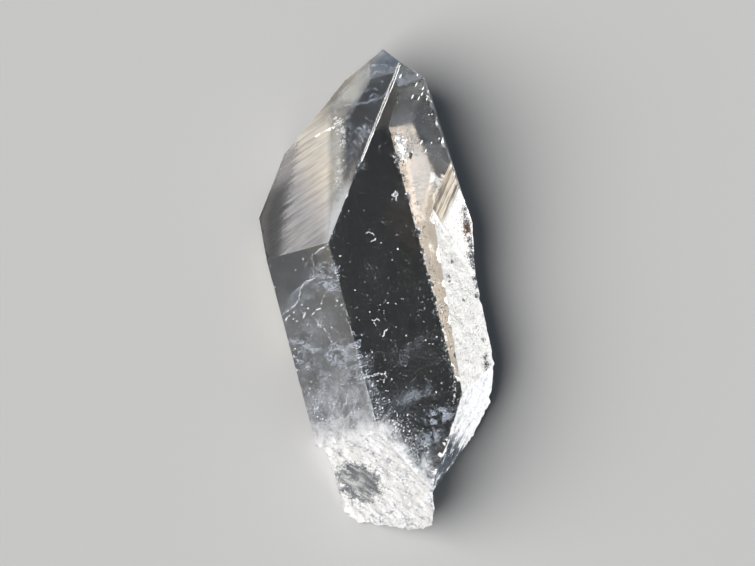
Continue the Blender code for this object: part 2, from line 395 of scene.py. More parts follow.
def build_body():
    bm = flat_body()
    keys = {f.index: key_of(f) for f in bm.faces}
    centre = seen(30, 70, -230)
    points, normals = [], []

    def add(co):
        points.append(Vector(co))
        return len(points) - 1

    bm.verts.ensure_lookup_table()
    at_vert = {v.index: add(v.co) for v in bm.verts}
    shift = {}
    worn = set()
    runs, facts = {}, {}
    for e in bm.edges:
        a, b = e.verts
        ka, kb = (keys[f.index] for f in e.link_faces)
        length = e.calc_length()
        n = max(1, round(length / 0.30))
        ids = [at_vert[a.index]]
        out = (e.link_faces[0].normal + e.link_faces[1].normal).normalized()
        dihedral = e.calc_face_angle_signed(0.0)
        wear = wear_of(ka, kb) if dihedral > radians(4) else (0.0, 1.0, 0.0)
        seed = (sum(map(ord, min(ka, kb) + max(ka, kb))) % 97) * 0.37
        for i in range(1, n):
            co = a.co.lerp(b.co, i / n)
            k = add(co)
            t = min(i, n - i) / n * length
            c = edge_chip(co, wear, seed) * smooth01(t / 0.8)
            shift[k] = -out * c
            if turns_white(ka, kb, c, co):
                worn.add(k)
            ids.append(k)
        ids.append(at_vert[b.index])
        runs[e.index] = ids
        facts[e.index] = (a.co.copy(), b.co.copy(), out, wear, seed, length, (ka, kb))

    tris, slots = [], []
    for f in bm.faces:
        key = keys[f.index]
        p0, nrm = TABLE[key]
        ua = Vector((0, 1, 0)) - nrm * nrm.y
        if ua.length < 0.2:
            ua = Vector((1, 0, 0)) - nrm * nrm.x
        ua.normalize()
        va = nrm.cross(ua)
        flat = lambda co: ((co - p0).dot(ua), (co - p0).dot(va))

        loop = []
        for l in f.loops:
            ids = runs[l.edge.index]
            if l.vert.index == l.edge.verts[0].index:
                loop += ids[:-1]
            else:
                loop += ids[::-1][:-1]
        rim = np.array([flat(points[i]) for i in loop])
        a, b = rim, np.roll(rim, -1, axis=0)
        lo, hi = rim.min(0), rim.max(0)
        step = step_of(key)
        rng = np.random.default_rng(sum(map(ord, key)))

        def inside(q):
            res = np.zeros(len(q), bool)
            for s in range(0, len(q), 4000):
                x, y = q[s:s + 4000, 0:1], q[s:s + 4000, 1:2]
                cond = (a[:, 1] > y) != (b[:, 1] > y)
                xi = a[:, 0] + (y - a[:, 1]) * (b[:, 0] - a[:, 0]) / (b[:, 1] - a[:, 1] + 1e-30)
                res[s:s + 4000] = (cond & (x < xi)).sum(1) % 2 == 1
            return res

        def rim_distance(q):
            res = np.empty(len(q))
            d = b - a
            dd = (d * d).sum(1) + 1e-12
            for s in range(0, len(q), 2000):
                w = q[s:s + 2000, None, :] - a[None]
                t = np.clip((w * d).sum(2) / dd, 0, 1)
                res[s:s + 2000] = np.sqrt(((w - t[..., None] * d) ** 2).sum(2)).min(1)
            return res

        def hexes(pitch):
            xs = np.arange(lo[0], hi[0], pitch)
            ys = np.arange(lo[1], hi[1], pitch * 0.866)
            g = np.stack(np.meshgrid(xs, ys, indexing="ij"), -1)
            g[:, 1::2, 0] += pitch / 2
            g = g.reshape(-1, 2) + rng.uniform(-0.16, 0.16, (g.size // 2, 2)) * pitch
            return g[inside(g)]

        inner = []
        bands = [(min(0.32, step), 0.13, 1.0), (min(0.65, step), 1.0, 2.6), (step, 2.6, 1e9)]
        for pitch, low, high in bands:
            g = hexes(pitch)
            if not len(g):
                continue
            d = rim_distance(g)
            inner.append(g[(d > low) & (d <= high)])
        inner = np.concatenate(inner) if inner else np.zeros((0, 2))
        d_in = rim_distance(inner) if len(inner) else np.zeros(0)

        co2 = [Vector(p) for p in rim] + [Vector(p) for p in inner]
        edges = [(i, (i + 1) % len(loop)) for i in range(len(loop))]
        vs, es, fs, ov, oe, _ = delaunay_2d_cdt(co2, edges, [], 0, 1e-7, True)
        h, fade = relief_function(key, None)
        index = {}
        sides = [facts[l.edge.index] for l in f.loops]
        for j, own in enumerate(ov):
            first = min(own) if own else None
            if first is not None and first < len(loop):
                index[j] = loop[first]
                continue
            q = p0 + ua * vs[j].x + va * vs[j].y
            k = add(q)
            index[j] = k
            dist = d_in[first - len(loop)] if first is not None else 0.0
            move = Vector()
            for (ea, eb, out, wear, seed, length, pair) in sides:
                if wear[0] <= 0:
                    continue
                d = (eb - ea) / length
                t = (q - ea).dot(d)
                if t <= 0 or t >= length:
                    continue
                on = ea + d * t
                below = (on - q).dot(out)
                if below > 1.6:
                    continue
                c = edge_chip(on, wear, seed) * smooth01(min(t, length - t) / 0.8)
                if c > below:
                    move -= out * (c - below)
                    if turns_white(*pair, c, on):
                        worn.add(k)
            hh = h(q, 0, 0) * smooth01(dist / fade)
            if key == "root_front":
                r = (q - HOLLOW_AT)
                r = Vector((r.x / 0.62, r.y / 0.85, r.z)).length / 5.4
                hh += 1.25 * smooth01(1 - r)
            shift[k] = move - nrm * hh
        # the inside is an odd number of rim edges away from the outside
        walls = {frozenset(e) for e, own in zip(es, oe) if own}
        beside = {}
        for i, t in enumerate(fs):
            for a in range(3):
                beside.setdefault(frozenset((t[a], t[(a + 1) % 3])), []).append(i)
        odd = {}
        todo = [(ts[0], e in walls) for e, ts in beside.items() if len(ts) == 1]
        while todo:
            i, own = todo.pop()
            if i in odd:
                continue
            odd[i] = own
            for a in range(3):
                e = frozenset((fs[i][a], fs[i][(a + 1) % 3]))
                todo.extend((k, own != (e in walls)) for k in beside[e] if k not in odd)
        for i, t in enumerate(fs):
            if not odd.get(i):
                continue
            tri = [index[i] for i in t]
            if len(set(tri)) < 3:
                continue
            x = (points[tri[1]] - points[tri[0]]).cross(points[tri[2]] - points[tri[0]])
            if x.dot(nrm) < 0:
                tri.reverse()
            tris.append(tri)
            slots.append((key, slot_of(key)))
    bm.free()
    flat_z = max(p.z for p in points)
    low = Vector([min(p[i] for p in points) for i in range(3)])
    high = Vector([max(p[i] for p in points) for i in range(3)])
    moved = [p + shift.get(i, Vector()) for i, p in enumerate(points)]
    for i, (tri, (key, slot)) in enumerate(zip(tris, slots)):
        if sum(k in worn for k in tri) >= 2 and slot in (CLEAR, ETCHED, VEILED):
            slots[i] = (key, FROSTED)
    return moved, tris, slots, shift, low, high


def to_part(low, high):
    """The shift, in mm, from the crystal's own frame to the part's."""
    box_low, box_high = CAD_BOX[0] / MM, CAD_BOX[1] / MM
    return Vector((box_low.x - low.x, box_high.y - high.y, box_high.z - high.z))


moved, tris, slots, shift, low, high = build_body()
OFF = to_part(low, high)
print("body", len(moved), "points", len(tris), "triangles", "shift", tuple(round(x, 4) for x in OFF))

FRONT = Vector((ST, 0, -CT))  # the way the camera looks
PHOTO_RIGHT = Vector((0.9659 * CT, -0.2588, 0.9659 * ST))
PHOTO_UP = Vector((0.2588 * CT, 0.9659, 0.2588 * ST))


def photo_point(x, y, depth=60.0):
    """The point in the part's frame, in metres, that the photograph shows at a pixel."""
    dx, dy = x - 382.5, y - 48.7
    v, u = 0.9659 * dx - 0.2588 * dy, -0.2588 * dx - 0.9659 * dy
    return (seen(v + 102.0, depth, u) + OFF) * MM


MIDDLE = photo_point(377.5, 283.0)


def photo_place(p):
    """Where a point of the part's frame, in metres, is seen in the photograph, in pixels."""
    d = (p - MIDDLE) / MM / PX
    return 377.5 + d.dot(PHOTO_RIGHT), 283.0 - d.dot(PHOTO_UP)


mesh = bpy.data.meshes.new("crystal_body")
mesh.from_pydata([(p + OFF) * MM for p in moved], [], tris)
mesh.polygons.foreach_set("material_index", [s[1] for s in slots])
mesh.polygons.foreach_set("use_smooth", [True] * len(tris))
mesh.update()
body = bpy.data.objects.new("crystal_body", mesh)
bpy.context.scene.collection.objects.link(body)

# keep the edges between the flat faces crisp
bm = bmesh.new()
bm.from_mesh(mesh)
names = sorted({s[0] for s in slots})
kid = [names.index(s[0]) for s in slots]
for e in bm.edges:
    if len(e.link_faces) == 2:
        fa, fb = e.link_faces
        e.smooth = not (kid[fa.index] != kid[fb.index] or e.calc_face_angle(0) > radians(28))
    else:
        print("open edge", [tuple(v.co) for v in e.verts])
bm.to_mesh(mesh)
bm.free()

# ------------------------------------------------------------------ materials


def material(name):
    m = bpy.data.materials.new(name)
    m.use_nodes = True
    nt = m.node_tree
    return m, nt, nt.nodes["Principled BSDF"]


def node(nt, kind, **values):
    n = nt.nodes.new(kind)
    for k, v in values.items():
        if k in n.inputs:
            n.inputs[k].default_value = v
        else:
            setattr(n, k, v)
    return n


def put(nt, socket, value):
    if hasattr(value, "is_output"):
        nt.links.new(value, socket)
    else:
        socket.default_value = value


def maths(nt, operation, *values):
    n = nt.nodes.new("ShaderNodeMath")
    n.operation = operation
    for socket, value in zip(n.inputs, values):
        put(nt, socket, value)
    return n.outputs[0]


def rises(nt, value, start, end, low=0.0, high=1.0):
    """low before start, high after end, smooth between them."""
    n = nt.nodes.new("ShaderNodeMapRange")
    n.interpolation_type = "SMOOTHSTEP"
    put(nt, n.inputs["Value"], value)
    for k, v in (("From Min", start), ("From Max", end), ("To Min", low), ("To Max", high)):
        n.inputs[k].default_value = v
    return n.outputs["Result"]


def stretched(nt, x, y, z=0.0):
    n = nt.nodes.new("ShaderNodeCombineXYZ")
    for socket, value in zip(n.inputs, (x, y, z)):
        put(nt, socket, value)
    return n.outputs[0]


def noise_of(nt, vector, scale=1.0, detail=4.0, rough=0.55):
    n = nt.nodes.new("ShaderNodeTexNoise")
    n.inputs["Scale"].default_value = scale
    n.inputs["Detail"].default_value = detail
    n.inputs["Roughness"].default_value = rough
    nt.links.new(vector, n.inputs["Vector"])
    return n.outputs["Fac"]


def place(nt):
    """The place on the crystal, in millimetres, and across and down as the front view is laid out, in pixels."""
    co = nt.nodes.new("ShaderNodeTexCoord").outputs["Object"]
    mm = nt.nodes.new("ShaderNodeVectorMath")
    mm.operation = "SCALE"
    nt.links.new(co, mm.inputs[0])
    mm.inputs["Scale"].default_value = 1000.0
    res = [mm.outputs[0]]
    for way, start, sign in ((PHOTO_RIGHT, 377.5, 1), (PHOTO_UP, 283.0, -1)):
        d = nt.nodes.new("ShaderNodeVectorMath")
        d.operation = "DOT_PRODUCT"
        nt.links.new(mm.outputs[0], d.inputs[0])
        d.inputs[1].default_value = way * sign / PX
        res.append(maths(nt, "ADD", d.outputs["Value"], start - (MIDDLE / MM).dot(way) * sign / PX))
    return res


def colours(nt, value, *stops):
    n = nt.nodes.new("ShaderNodeValToRGB")
    r = n.color_ramp
    while len(r.elements) < len(stops):
        r.elements.new(0.5)
    for e, (at, c) in zip(r.elements, stops):
        e.position, e.color = at, (*c, 1)
    nt.links.new(value, n.inputs["Fac"])
    return n.outputs["Color"]


def bumps(nt, p, height, distance, strength):
    n = node(nt, "ShaderNodeBump", Strength=strength, Distance=distance)
    nt.links.new(height, n.inputs["Height"])
    nt.links.new(n.outputs["Normal"], p.inputs["Normal"])
    return n.outputs["Normal"]


def glass(p, transmission=0.985, roughness=0.0, colour=(0.97, 0.98, 0.985)):
    p.inputs["Base Color"].default_value = (*colour, 1)
    p.inputs["Transmission Weight"].default_value = transmission
    p.inputs["IOR"].default_value = 1.544
    p.inputs["Roughness"].default_value = roughness


def over(nt, p, shader, factor):
    """Lays a shader over the main one by a factor."""
    mix = nt.nodes.new("ShaderNodeMixShader")
    put(nt, mix.inputs[0], factor)
    last = nt.nodes["Material Output"].inputs["Surface"].links[0].from_socket
    nt.links.new(last, mix.inputs[1])
    nt.links.new(shader.outputs[0], mix.inputs[2])
    nt.links.new(mix.outputs[0], nt.nodes["Material Output"].inputs["Surface"])


def rim_frost(nt, mm, x, y, most=0.95):
    """A crushed white skin that creeps up from the broken root over the faces beside it."""
    rim = maths(nt, "MAXIMUM", maths(nt, "ADD", maths(nt, "MULTIPLY", x, -0.203), 511.1),
                maths(nt, "ADD", maths(nt, "MULTIPLY", x, 1.075), 25.5))
    above = maths(nt, "SUBTRACT", rim, y)
    broad = noise_of(nt, mm, 0.30, 5.0, 0.6)
    fine = noise_of(nt, mm, 1.3, 4.0, 0.7)
    above = maths(nt, "ADD", above, maths(nt, "MULTIPLY", maths(nt, "SUBTRACT", broad, 0.5), 70.0))
    above = maths(nt, "ADD", above, maths(nt, "MULTIPLY", maths(nt, "SUBTRACT", fine, 0.5), 46.0))
    white = node(nt, "ShaderNodeBsdfDiffuse", Roughness=0.3)
    nt.links.new(colours(nt, fine, (0.36, (0.36, 0.38, 0.41)), (0.50, (0.60, 0.61, 0.63))), white.inputs["Color"])
    over(nt, p_of(nt), white, rises(nt, above, 27.0, 1.0, 0.0, most))
    return fine


def p_of(nt):
    return nt.nodes["Principled BSDF"]


def clear_material():
    m, nt, p = material("clear_quartz")
    glass(p, 0.99)
    mm, x, y = place(nt)
    rim_frost(nt, mm, x, y)
    sep = nt.nodes.new("ShaderNodeSeparateXYZ")
    nt.links.new(mm, sep.inputs[0])
    sx, sy, sz = sep.outputs
    lines = noise_of(nt, stretched(nt, maths(nt, "MULTIPLY", sx, 0.10), maths(nt, "MULTIPLY", sy, 1.7),
                                   maths(nt, "MULTIPLY", sz, 0.10)), 1.0, 5.0, 0.6)
    fine = noise_of(nt, mm, 0.8, 3.0)
    bumps(nt, p, maths(nt, "ADD", lines, maths(nt, "MULTIPLY", fine, 0.3)), 0.0001, 0.10)
    # a dull, faintly buff patch low on the left side, a painted warm reflection: it tints the view that leaves the
    # crystal there cream
    patch = maths(nt, "MULTIPLY", rises(nt, sx, -16.6, -17.6), rises(nt, sz, 6.6, 5.9))
    patch = maths(nt, "MULTIPLY", patch, rises(nt, sz, 0.7, 1.3))
    ragged = noise_of(nt, mm, 0.33, 5.0, 0.65)
    reach = maths(nt, "ADD", sy, maths(nt, "MULTIPLY", maths(nt, "SUBTRACT", ragged, 0.5), 22.0))
    patch = maths(nt, "MULTIPLY", patch, maths(nt, "MULTIPLY", rises(nt, reach, -9.0, -3.0), rises(nt, reach, 27.0, 21.0)))
    patch = maths(nt, "MULTIPLY", patch, rises(nt, fine, 0.34, 0.46, 0.66, 0.92))
    buff = node(nt, "ShaderNodeBsdfTranslucent", Color=(0.90, 0.77, 0.60, 1))
    dull = node(nt, "ShaderNodeBsdfDiffuse", Color=(0.66, 0.61, 0.53, 1), Roughness=0.3)
    over(nt, p, dull, patch)
    over(nt, p, buff, maths(nt, "MULTIPLY", patch, 0.58))
    return m


def etched_material():
    """The left tip face: fine growth striations with a silky, partly matt skin that fades out low on the left. The skin
    is partly real etch and partly painted sheen: its warm beige and silver-grey colours stand in for reflected light.
    Dark blue painted shade tints the lower left and the right part.
    """
    m, nt, p = material("etched_quartz")
    glass(p, 0.985, 0.03)
    mm, x, y = place(nt)
    s = maths(nt, "ADD", maths(nt, "MULTIPLY", x, sin(radians(34))), maths(nt, "MULTIPLY", y, cos(radians(34))))
    t = maths(nt, "SUBTRACT", maths(nt, "MULTIPLY", x, cos(radians(34))), maths(nt, "MULTIPLY", y, sin(radians(34))))
    stria = noise_of(nt, stretched(nt, maths(nt, "MULTIPLY", s, 0.34), maths(nt, "MULTIPLY", t, 0.022)), 1.0, 5.0, 0.65)
    broad = noise_of(nt, stretched(nt, maths(nt, "MULTIPLY", s, 0.06), maths(nt, "MULTIPLY", t, 0.018), 3.0), 1.0, 3.0)
    cloud = noise_of(nt, mm, 0.22, 4.0)
    # matt skin: strong in a band that climbs to the right, weaker beyond, nearly none low on the left
    edge = maths(nt, "ADD", x, maths(nt, "MULTIPLY", maths(nt, "SUBTRACT", y, 200.0), 0.10))
    edge = maths(nt, "ADD", edge, maths(nt, "MULTIPLY", maths(nt, "SUBTRACT", stria, 0.5), 26.0))
    left = rises(nt, edge, 280.0, 296.0)
    upper = rises(nt, y, 196.0, 172.0, 0.0, 0.62)
    right = maths(nt, "MULTIPLY", rises(nt, x, 333.0, 326.0, 0.45, 1.0),
                  rises(nt, maths(nt, "SUBTRACT", x, maths(nt, "MULTIPLY", maths(nt, "MAXIMUM", maths(nt, "SUBTRACT", 120.0, y), 0.0), 0.55)), 348.0, 339.0))
    top = rises(nt, y, 70.0, 150.0, 0.12, 1.0)
    skin = maths(nt, "MULTIPLY", maths(nt, "MAXIMUM", left, upper), right)
    skin = maths(nt, "MULTIPLY", skin, top)
    grain = maths(nt, "ADD", rises(nt, stria, 0.36, 0.62, 0.66, 1.02), maths(nt, "MULTIPLY", maths(nt, "SUBTRACT", broad, 0.5), 0.5))
    factor = maths(nt, "MULTIPLY", maths(nt, "MULTIPLY", skin, grain), 0.74)
    beside = maths(nt, "SUBTRACT", maths(nt, "SUBTRACT", 412.7, maths(nt, "MULTIPLY", y, 0.3333)), x)
    beside = maths(nt, "ADD", beside, maths(nt, "MULTIPLY", maths(nt, "SUBTRACT", cloud, 0.5), 26.0))
    beside = maths(nt, "MULTIPLY", rises(nt, beside, 15.0, 3.0, 0.0, 0.62), rises(nt, y, 172.0, 196.0))
    factor = maths(nt, "MAXIMUM", factor, beside)
    # painted sheen: a warm beige band and a pale silver-grey part stand in for light reflected in the striated face
    band = maths(nt, "SUBTRACT", maths(nt, "ADD", maths(nt, "MULTIPLY", x, 0.55), maths(nt, "MULTIPLY", y, -0.30)), 0.0)
    warm = rises(nt, band, 98.0, 128.0)
    tone = maths(nt, "ADD", maths(nt, "MULTIPLY", warm, 0.75), maths(nt, "MULTIPLY", maths(nt, "SUBTRACT", cloud, 0.4), 0.5))
    c = colours(nt, tone, (0.05, (0.40, 0.40, 0.42)), (0.45, (0.52, 0.50, 0.50)), (0.95, (0.76, 0.71, 0.62)))
    pale = nt.nodes.new("ShaderNodeMix")
    pale.data_type = "RGBA"
    put(nt, pale.inputs["Factor"], maths(nt, "MULTIPLY", rises(nt, x, 322.0, 336.0), rises(nt, y, 172.0, 196.0)))
    nt.links.new(c, pale.inputs[6])
    pale.inputs[7].default_value = (0.60, 0.64, 0.68, 1)
    c = pale.outputs[2]
    # painted shade: the lower left and the right part are tinted dark blue where the view through the face is dark
    painted_shade = maths(nt, "MULTIPLY", rises(nt, edge, 296.0, 274.0), rises(nt, y, 168.0, 200.0))
    painted_dark_reflection = rises(nt, maths(nt, "SUBTRACT", x, maths(nt, "MULTIPLY", maths(nt, "MAXIMUM", maths(nt, "SUBTRACT", 120.0, y), 0.0), 0.55)), 339.0, 348.0)
    painted_shade_mix = nt.nodes.new("ShaderNodeMix")
    painted_shade_mix.data_type = "RGBA"
    put(nt, painted_shade_mix.inputs["Factor"], maths(nt, "MAXIMUM", maths(nt, "MULTIPLY", painted_shade, 0.6), maths(nt, "MULTIPLY", painted_dark_reflection, 0.8)))
    painted_shade_mix.inputs[6].default_value = (0.97, 0.98, 0.985, 1)
    painted_shade_mix.inputs[7].default_value = (0.27, 0.33, 0.43, 1)
    nt.links.new(painted_shade_mix.outputs[2], p.inputs["Base Color"])
    skin_and_painted_sheen = node(nt, "ShaderNodeBsdfDiffuse", Roughness=0.3)
    nt.links.new(c, skin_and_painted_sheen.inputs["Color"])
    over(nt, p, skin_and_painted_sheen, factor)
    normal = bumps(nt, p, stria, 0.00012, 0.35)
    nt.links.new(normal, skin_and_painted_sheen.inputs["Normal"])
    return m


def veiled_material():
    """The left prism face: clear at the top, with a thin milky skin that thickens towards the root."""
    m, nt, p = material("veiled_quartz")
    glass(p, 0.985, 0.02)
    mm, x, y = place(nt)
    cloud = noise_of(nt, mm, 0.28, 6.0, 0.62)
    sep = nt.nodes.new("ShaderNodeSeparateXYZ")
    nt.links.new(mm, sep.inputs[0])
    rays = noise_of(nt, stretched(nt, maths(nt, "MULTIPLY", sep.outputs[0], 1.3), maths(nt, "MULTIPLY", sep.outputs[1], 0.28),
                                  maths(nt, "MULTIPLY", sep.outputs[2], 1.3)), 1.0, 5.0, 0.6)
    lines = noise_of(nt, stretched(nt, maths(nt, "MULTIPLY", sep.outputs[0], 0.12),
                                   maths(nt, "MULTIPLY", sep.outputs[1], 2.2), 0.0), 1.0, 4.0, 0.6)
    down = maths(nt, "SUBTRACT", y, maths(nt, "MULTIPLY", maths(nt, "SUBTRACT", x, 330.0), -0.30))
    haze = rises(nt, down, 350.0, 466.0, 0.02, 0.34)
    haze = maths(nt, "ADD", haze, rises(nt, down, 262.0, 300.0, 0.0, 0.05))
    body_cloud = rises(nt, maths(nt, "ADD", maths(nt, "MULTIPLY", cloud, 0.78), maths(nt, "MULTIPLY", rays, 0.22)), 0.34, 0.68, 0.35, 1.6)
    factor = maths(nt, "MULTIPLY", haze, body_cloud)
    skin = node(nt, "ShaderNodeBsdfDiffuse", Color=(0.68, 0.71, 0.77, 1), Roughness=0.3)
    over(nt, p, skin, factor)
    rim_frost(nt, mm, x, y)
    # painted shade: the upper left of this face is tinted grey-blue so that the view through it is darker
    painted_shade = maths(nt, "MULTIPLY", rises(nt, maths(nt, "ADD", x, maths(nt, "MULTIPLY", maths(nt, "SUBTRACT", y, 260.0), -0.10)), 318.0, 288.0),
                  rises(nt, y, 345.0, 300.0))
    painted_shade_mix = nt.nodes.new("ShaderNodeMix")
    painted_shade_mix.data_type = "RGBA"
    put(nt, painted_shade_mix.inputs["Factor"], painted_shade)
    painted_shade_mix.inputs[6].default_value = (0.97, 0.98, 0.985, 1)
    painted_shade_mix.inputs[7].default_value = (0.76, 0.79, 0.84, 1)
    nt.links.new(painted_shade_mix.outputs[2], p.inputs["Base Color"])
    bumps(nt, p, lines, 0.0001, 0.12)
    return m


def frosted_material():
    m, nt, p = material("frosted_quartz")
    glass(p, 0.04, 0.45)
    mm, x, y = place(nt)
    grain = noise_of(nt, mm, 2.6, 5.0, 0.7)
    blotch = noise_of(nt, mm, 0.9, 4.0, 0.6)
    tone = maths(nt, "ADD", maths(nt, "MULTIPLY", grain, 0.6), maths(nt, "MULTIPLY", blotch, 0.4))
    c = colours(nt, tone, (0.36, (0.34, 0.36, 0.40)), (0.42, (0.80, 0.81, 0.82)), (0.47, (0.99, 0.99, 0.98)))
    nt.links.new(c, p.inputs["Base Color"])
    through = node(nt, "ShaderNodeBsdfTranslucent", Color=(0.93, 0.84, 0.70, 1))
    over(nt, p, through, 0.06)
    bumps(nt, p, tone, 0.0009, 1.0)
    return m


def stepped_material():
    """The ramp of growth steps: bands of cream, mauve grey and white beside its diagonal edge."""
    m, nt, p = material("stepped_quartz")
    glass(p, 0.08, 0.35)
    mm, x, y = place(nt)
    s = maths(nt, "ADD", maths(nt, "MULTIPLY", maths(nt, "SUBTRACT", x, 452.0), 0.911),
              maths(nt, "MULTIPLY", maths(nt, "SUBTRACT", y, 164.0), 0.414))
    t = maths(nt, "SUBTRACT", maths(nt, "MULTIPLY", y, 0.911), maths(nt, "MULTIPLY", x, 0.414))
    band = noise_of(nt, stretched(nt, maths(nt, "MULTIPLY", s, 0.22), maths(nt, "MULTIPLY", t, 0.012), 5.3), 1.0, 3.0, 0.6)
    fine = noise_of(nt, stretched(nt, maths(nt, "MULTIPLY", s, 0.9), maths(nt, "MULTIPLY", t, 0.07), 1.3), 1.0, 4.0, 0.65)
    tone = maths(nt, "ADD", maths(nt, "MULTIPLY", band, 0.62), maths(nt, "MULTIPLY", fine, 0.38))
    c = colours(nt, tone, (0.38, (0.05, 0.047, 0.05)), (0.45, (0.17, 0.15, 0.14)), (0.50, (0.36, 0.31, 0.25)), (0.57, (0.74, 0.67, 0.57)))
    white = nt.nodes.new("ShaderNodeMix")
    white.data_type = "RGBA"
    put(nt, white.inputs["Factor"], rises(nt, maths(nt, "ADD", s, maths(nt, "MULTIPLY", maths(nt, "SUBTRACT", fine, 0.5), 14.0)), 13.0, 19.0))
    nt.links.new(c, white.inputs[6])
    sugar = noise_of(nt, mm, 2.4, 5.0, 0.7)
    nt.links.new(colours(nt, sugar, (0.37, (0.50, 0.50, 0.51)), (0.47, (0.93, 0.92, 0.91))), white.inputs[7])
    nt.links.new(white.outputs[2], p.inputs["Base Color"])
    # painted warm reflection: the cream colour of the light let through the ramp makes it look cream from inside the
    # crystal
    through = node(nt, "ShaderNodeBsdfTranslucent", Color=(0.98, 0.80, 0.56, 1))
    over(nt, p, through, 0.20)
    bumps(nt, p, tone, 0.0004, 0.7)
    return m


def broken_material():
    """The oblique break: white where it is finely crushed, glassy and bluish along its lower streaks."""
    m, nt, p = material("broken_quartz")
    glass(p, 0.12, 0.4)
    mm, x, y = place(nt)
    s = maths(nt, "ADD", maths(nt, "MULTIPLY", x, 0.88), maths(nt, "MULTIPLY", y, 0.47))
    t = maths(nt, "SUBTRACT", maths(nt, "MULTIPLY", y, 0.88), maths(nt, "MULTIPLY", x, 0.47))
    streak = noise_of(nt, stretched(nt, maths(nt, "MULTIPLY", s, 0.28), maths(nt, "MULTIPLY", t, 0.05), 2.0), 1.0, 5.0, 0.65)
    grain = noise_of(nt, mm, 2.4, 5.0, 0.7)
    low = rises(nt, maths(nt, "ADD", y, maths(nt, "MULTIPLY", maths(nt, "SUBTRACT", x, 455.0), -0.9)), 420.0, 452.0)
    dark = rises(nt, maths(nt, "SUBTRACT", streak, maths(nt, "MULTIPLY", low, 0.17)), 0.46, 0.36)
    tone = maths(nt, "ADD", maths(nt, "MULTIPLY", streak, 0.5), maths(nt, "MULTIPLY", grain, 0.5))
    c = colours(nt, tone, (0.38, (0.38, 0.41, 0.47)), (0.45, (0.66, 0.69, 0.74)), (0.53, (0.84, 0.845, 0.85)))
    nt.links.new(c, p.inputs["Base Color"])
    through = node(nt, "ShaderNodeBsdfTranslucent", Color=(0.85, 0.88, 0.92, 1))
    over(nt, p, through, 0.06)
    glassy = node(nt, "ShaderNodeBsdfGlass", Color=(0.55, 0.68, 0.88, 1), Roughness=0.10, IOR=1.544)
    over(nt, p, glassy, maths(nt, "MULTIPLY", dark, maths(nt, "ADD", maths(nt, "MULTIPLY", low, 0.75), 0.2)))
    normal = bumps(nt, p, tone, 0.0005, 0.9)
    nt.links.new(normal, glassy.inputs["Normal"])
    return m


def milky_material():
    """The broken root: granular milky quartz, clearer and darker in the shallow hollow."""
    m, nt, p = material("milky_quartz")
    glass(p, 0.22, 0.4)
    mm, x, y = place(nt)
    grain = noise_of(nt, mm, 2.2, 6.0, 0.72)
    blotch = noise_of(nt, mm, 0.55, 5.0, 0.6)
    s = maths(nt, "SUBTRACT", maths(nt, "MULTIPLY", y, 0.85), maths(nt, "MULTIPLY", x, 0.53))
    t = maths(nt, "ADD", maths(nt, "MULTIPLY", x, 0.85), maths(nt, "MULTIPLY", y, 0.53))
    streak = noise_of(nt, stretched(nt, maths(nt, "MULTIPLY", s, 0.20), maths(nt, "MULTIPLY", t, 0.035), 4.0), 1.0, 5.0, 0.65)
    tone = maths(nt, "ADD", maths(nt, "MULTIPLY", grain, 0.42), maths(nt, "MULTIPLY", blotch, 0.38))
    tone = maths(nt, "ADD", tone, maths(nt, "MULTIPLY", streak, 0.20))
    c = colours(nt, tone, (0.37, (0.32, 0.36, 0.43)), (0.43, (0.60, 0.63, 0.69)), (0.51, (0.88, 0.885, 0.89)))
    nt.links.new(c, p.inputs["Base Color"])
    through = node(nt, "ShaderNodeBsdfTranslucent")
    # painted shade: the light let through the root is dark higher up and pale lower down in the front view
    shade = rises(nt, y, 385.0, 455.0)
    nt.links.new(colours(nt, shade, (0.0, (0.16, 0.17, 0.19)), (1.0, (0.81, 0.82, 0.77))), through.inputs["Color"])
    over(nt, p, through, 0.20)
    # the hollow
    away = nt.nodes.new("ShaderNodeVectorMath")
    away.operation = "DISTANCE"
    nt.links.new(mm, away.inputs[0])
    away.inputs[1].default_value = HOLLOW_AT + OFF
    d = maths(nt, "ADD", away.outputs["Value"], maths(nt, "MULTIPLY", maths(nt, "SUBTRACT", blotch, 0.5), 7.0))
    d = maths(nt, "ADD", d, maths(nt, "MULTIPLY", maths(nt, "SUBTRACT", grain, 0.5), 6.0))
    hollow = maths(nt, "MULTIPLY", rises(nt, d, 5.6, 3.6, 0.0, 0.9), rises(nt, d, 0.2, 2.4, 0.35, 1.0))
    hollow = maths(nt, "MULTIPLY", hollow, rises(nt, streak, 0.62, 0.44, 0.45, 0.95))
    hollow = maths(nt, "MAXIMUM", hollow, maths(nt, "MULTIPLY", rises(nt, blotch, 0.43, 0.35), 0.30))
    glassy = node(nt, "ShaderNodeBsdfGlass", Color=(0.74, 0.82, 0.92, 1), Roughness=0.12, IOR=1.544)
    over(nt, p, glassy, hollow)
    normal = bumps(nt, p, tone, 0.0005, 0.8)
    nt.links.new(normal, glassy.inputs["Normal"])
    return m


def fleck_material(name, colour, rough=0.35):
    m, nt, p = material(name)
    mm, x, y = place(nt)
    c = colours(nt, noise_of(nt, mm, 1.7, 3.0), (0.3, tuple(v * 0.72 for v in colour)), (0.6, colour))
    nt.links.new(c, p.inputs["Base Color"])
    p.inputs["Roughness"].default_value = rough
    return m


for m in (clear_material(), frosted_material(), milky_material(), etched_material(), veiled_material(),
          stepped_material(), broken_material()):
    mesh.materials.append(m)
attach(body, "root")
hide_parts(NODE)

# ------------------------------------------------------------------ what is sealed in the crystal or sits on it

from mathutils.bvhtree import BVHTree

SKIN = BVHTree.FromPolygons(moved, tris)
DISTANCE = 1.0
EYE = MIDDLE - FRONT * DISTANCE


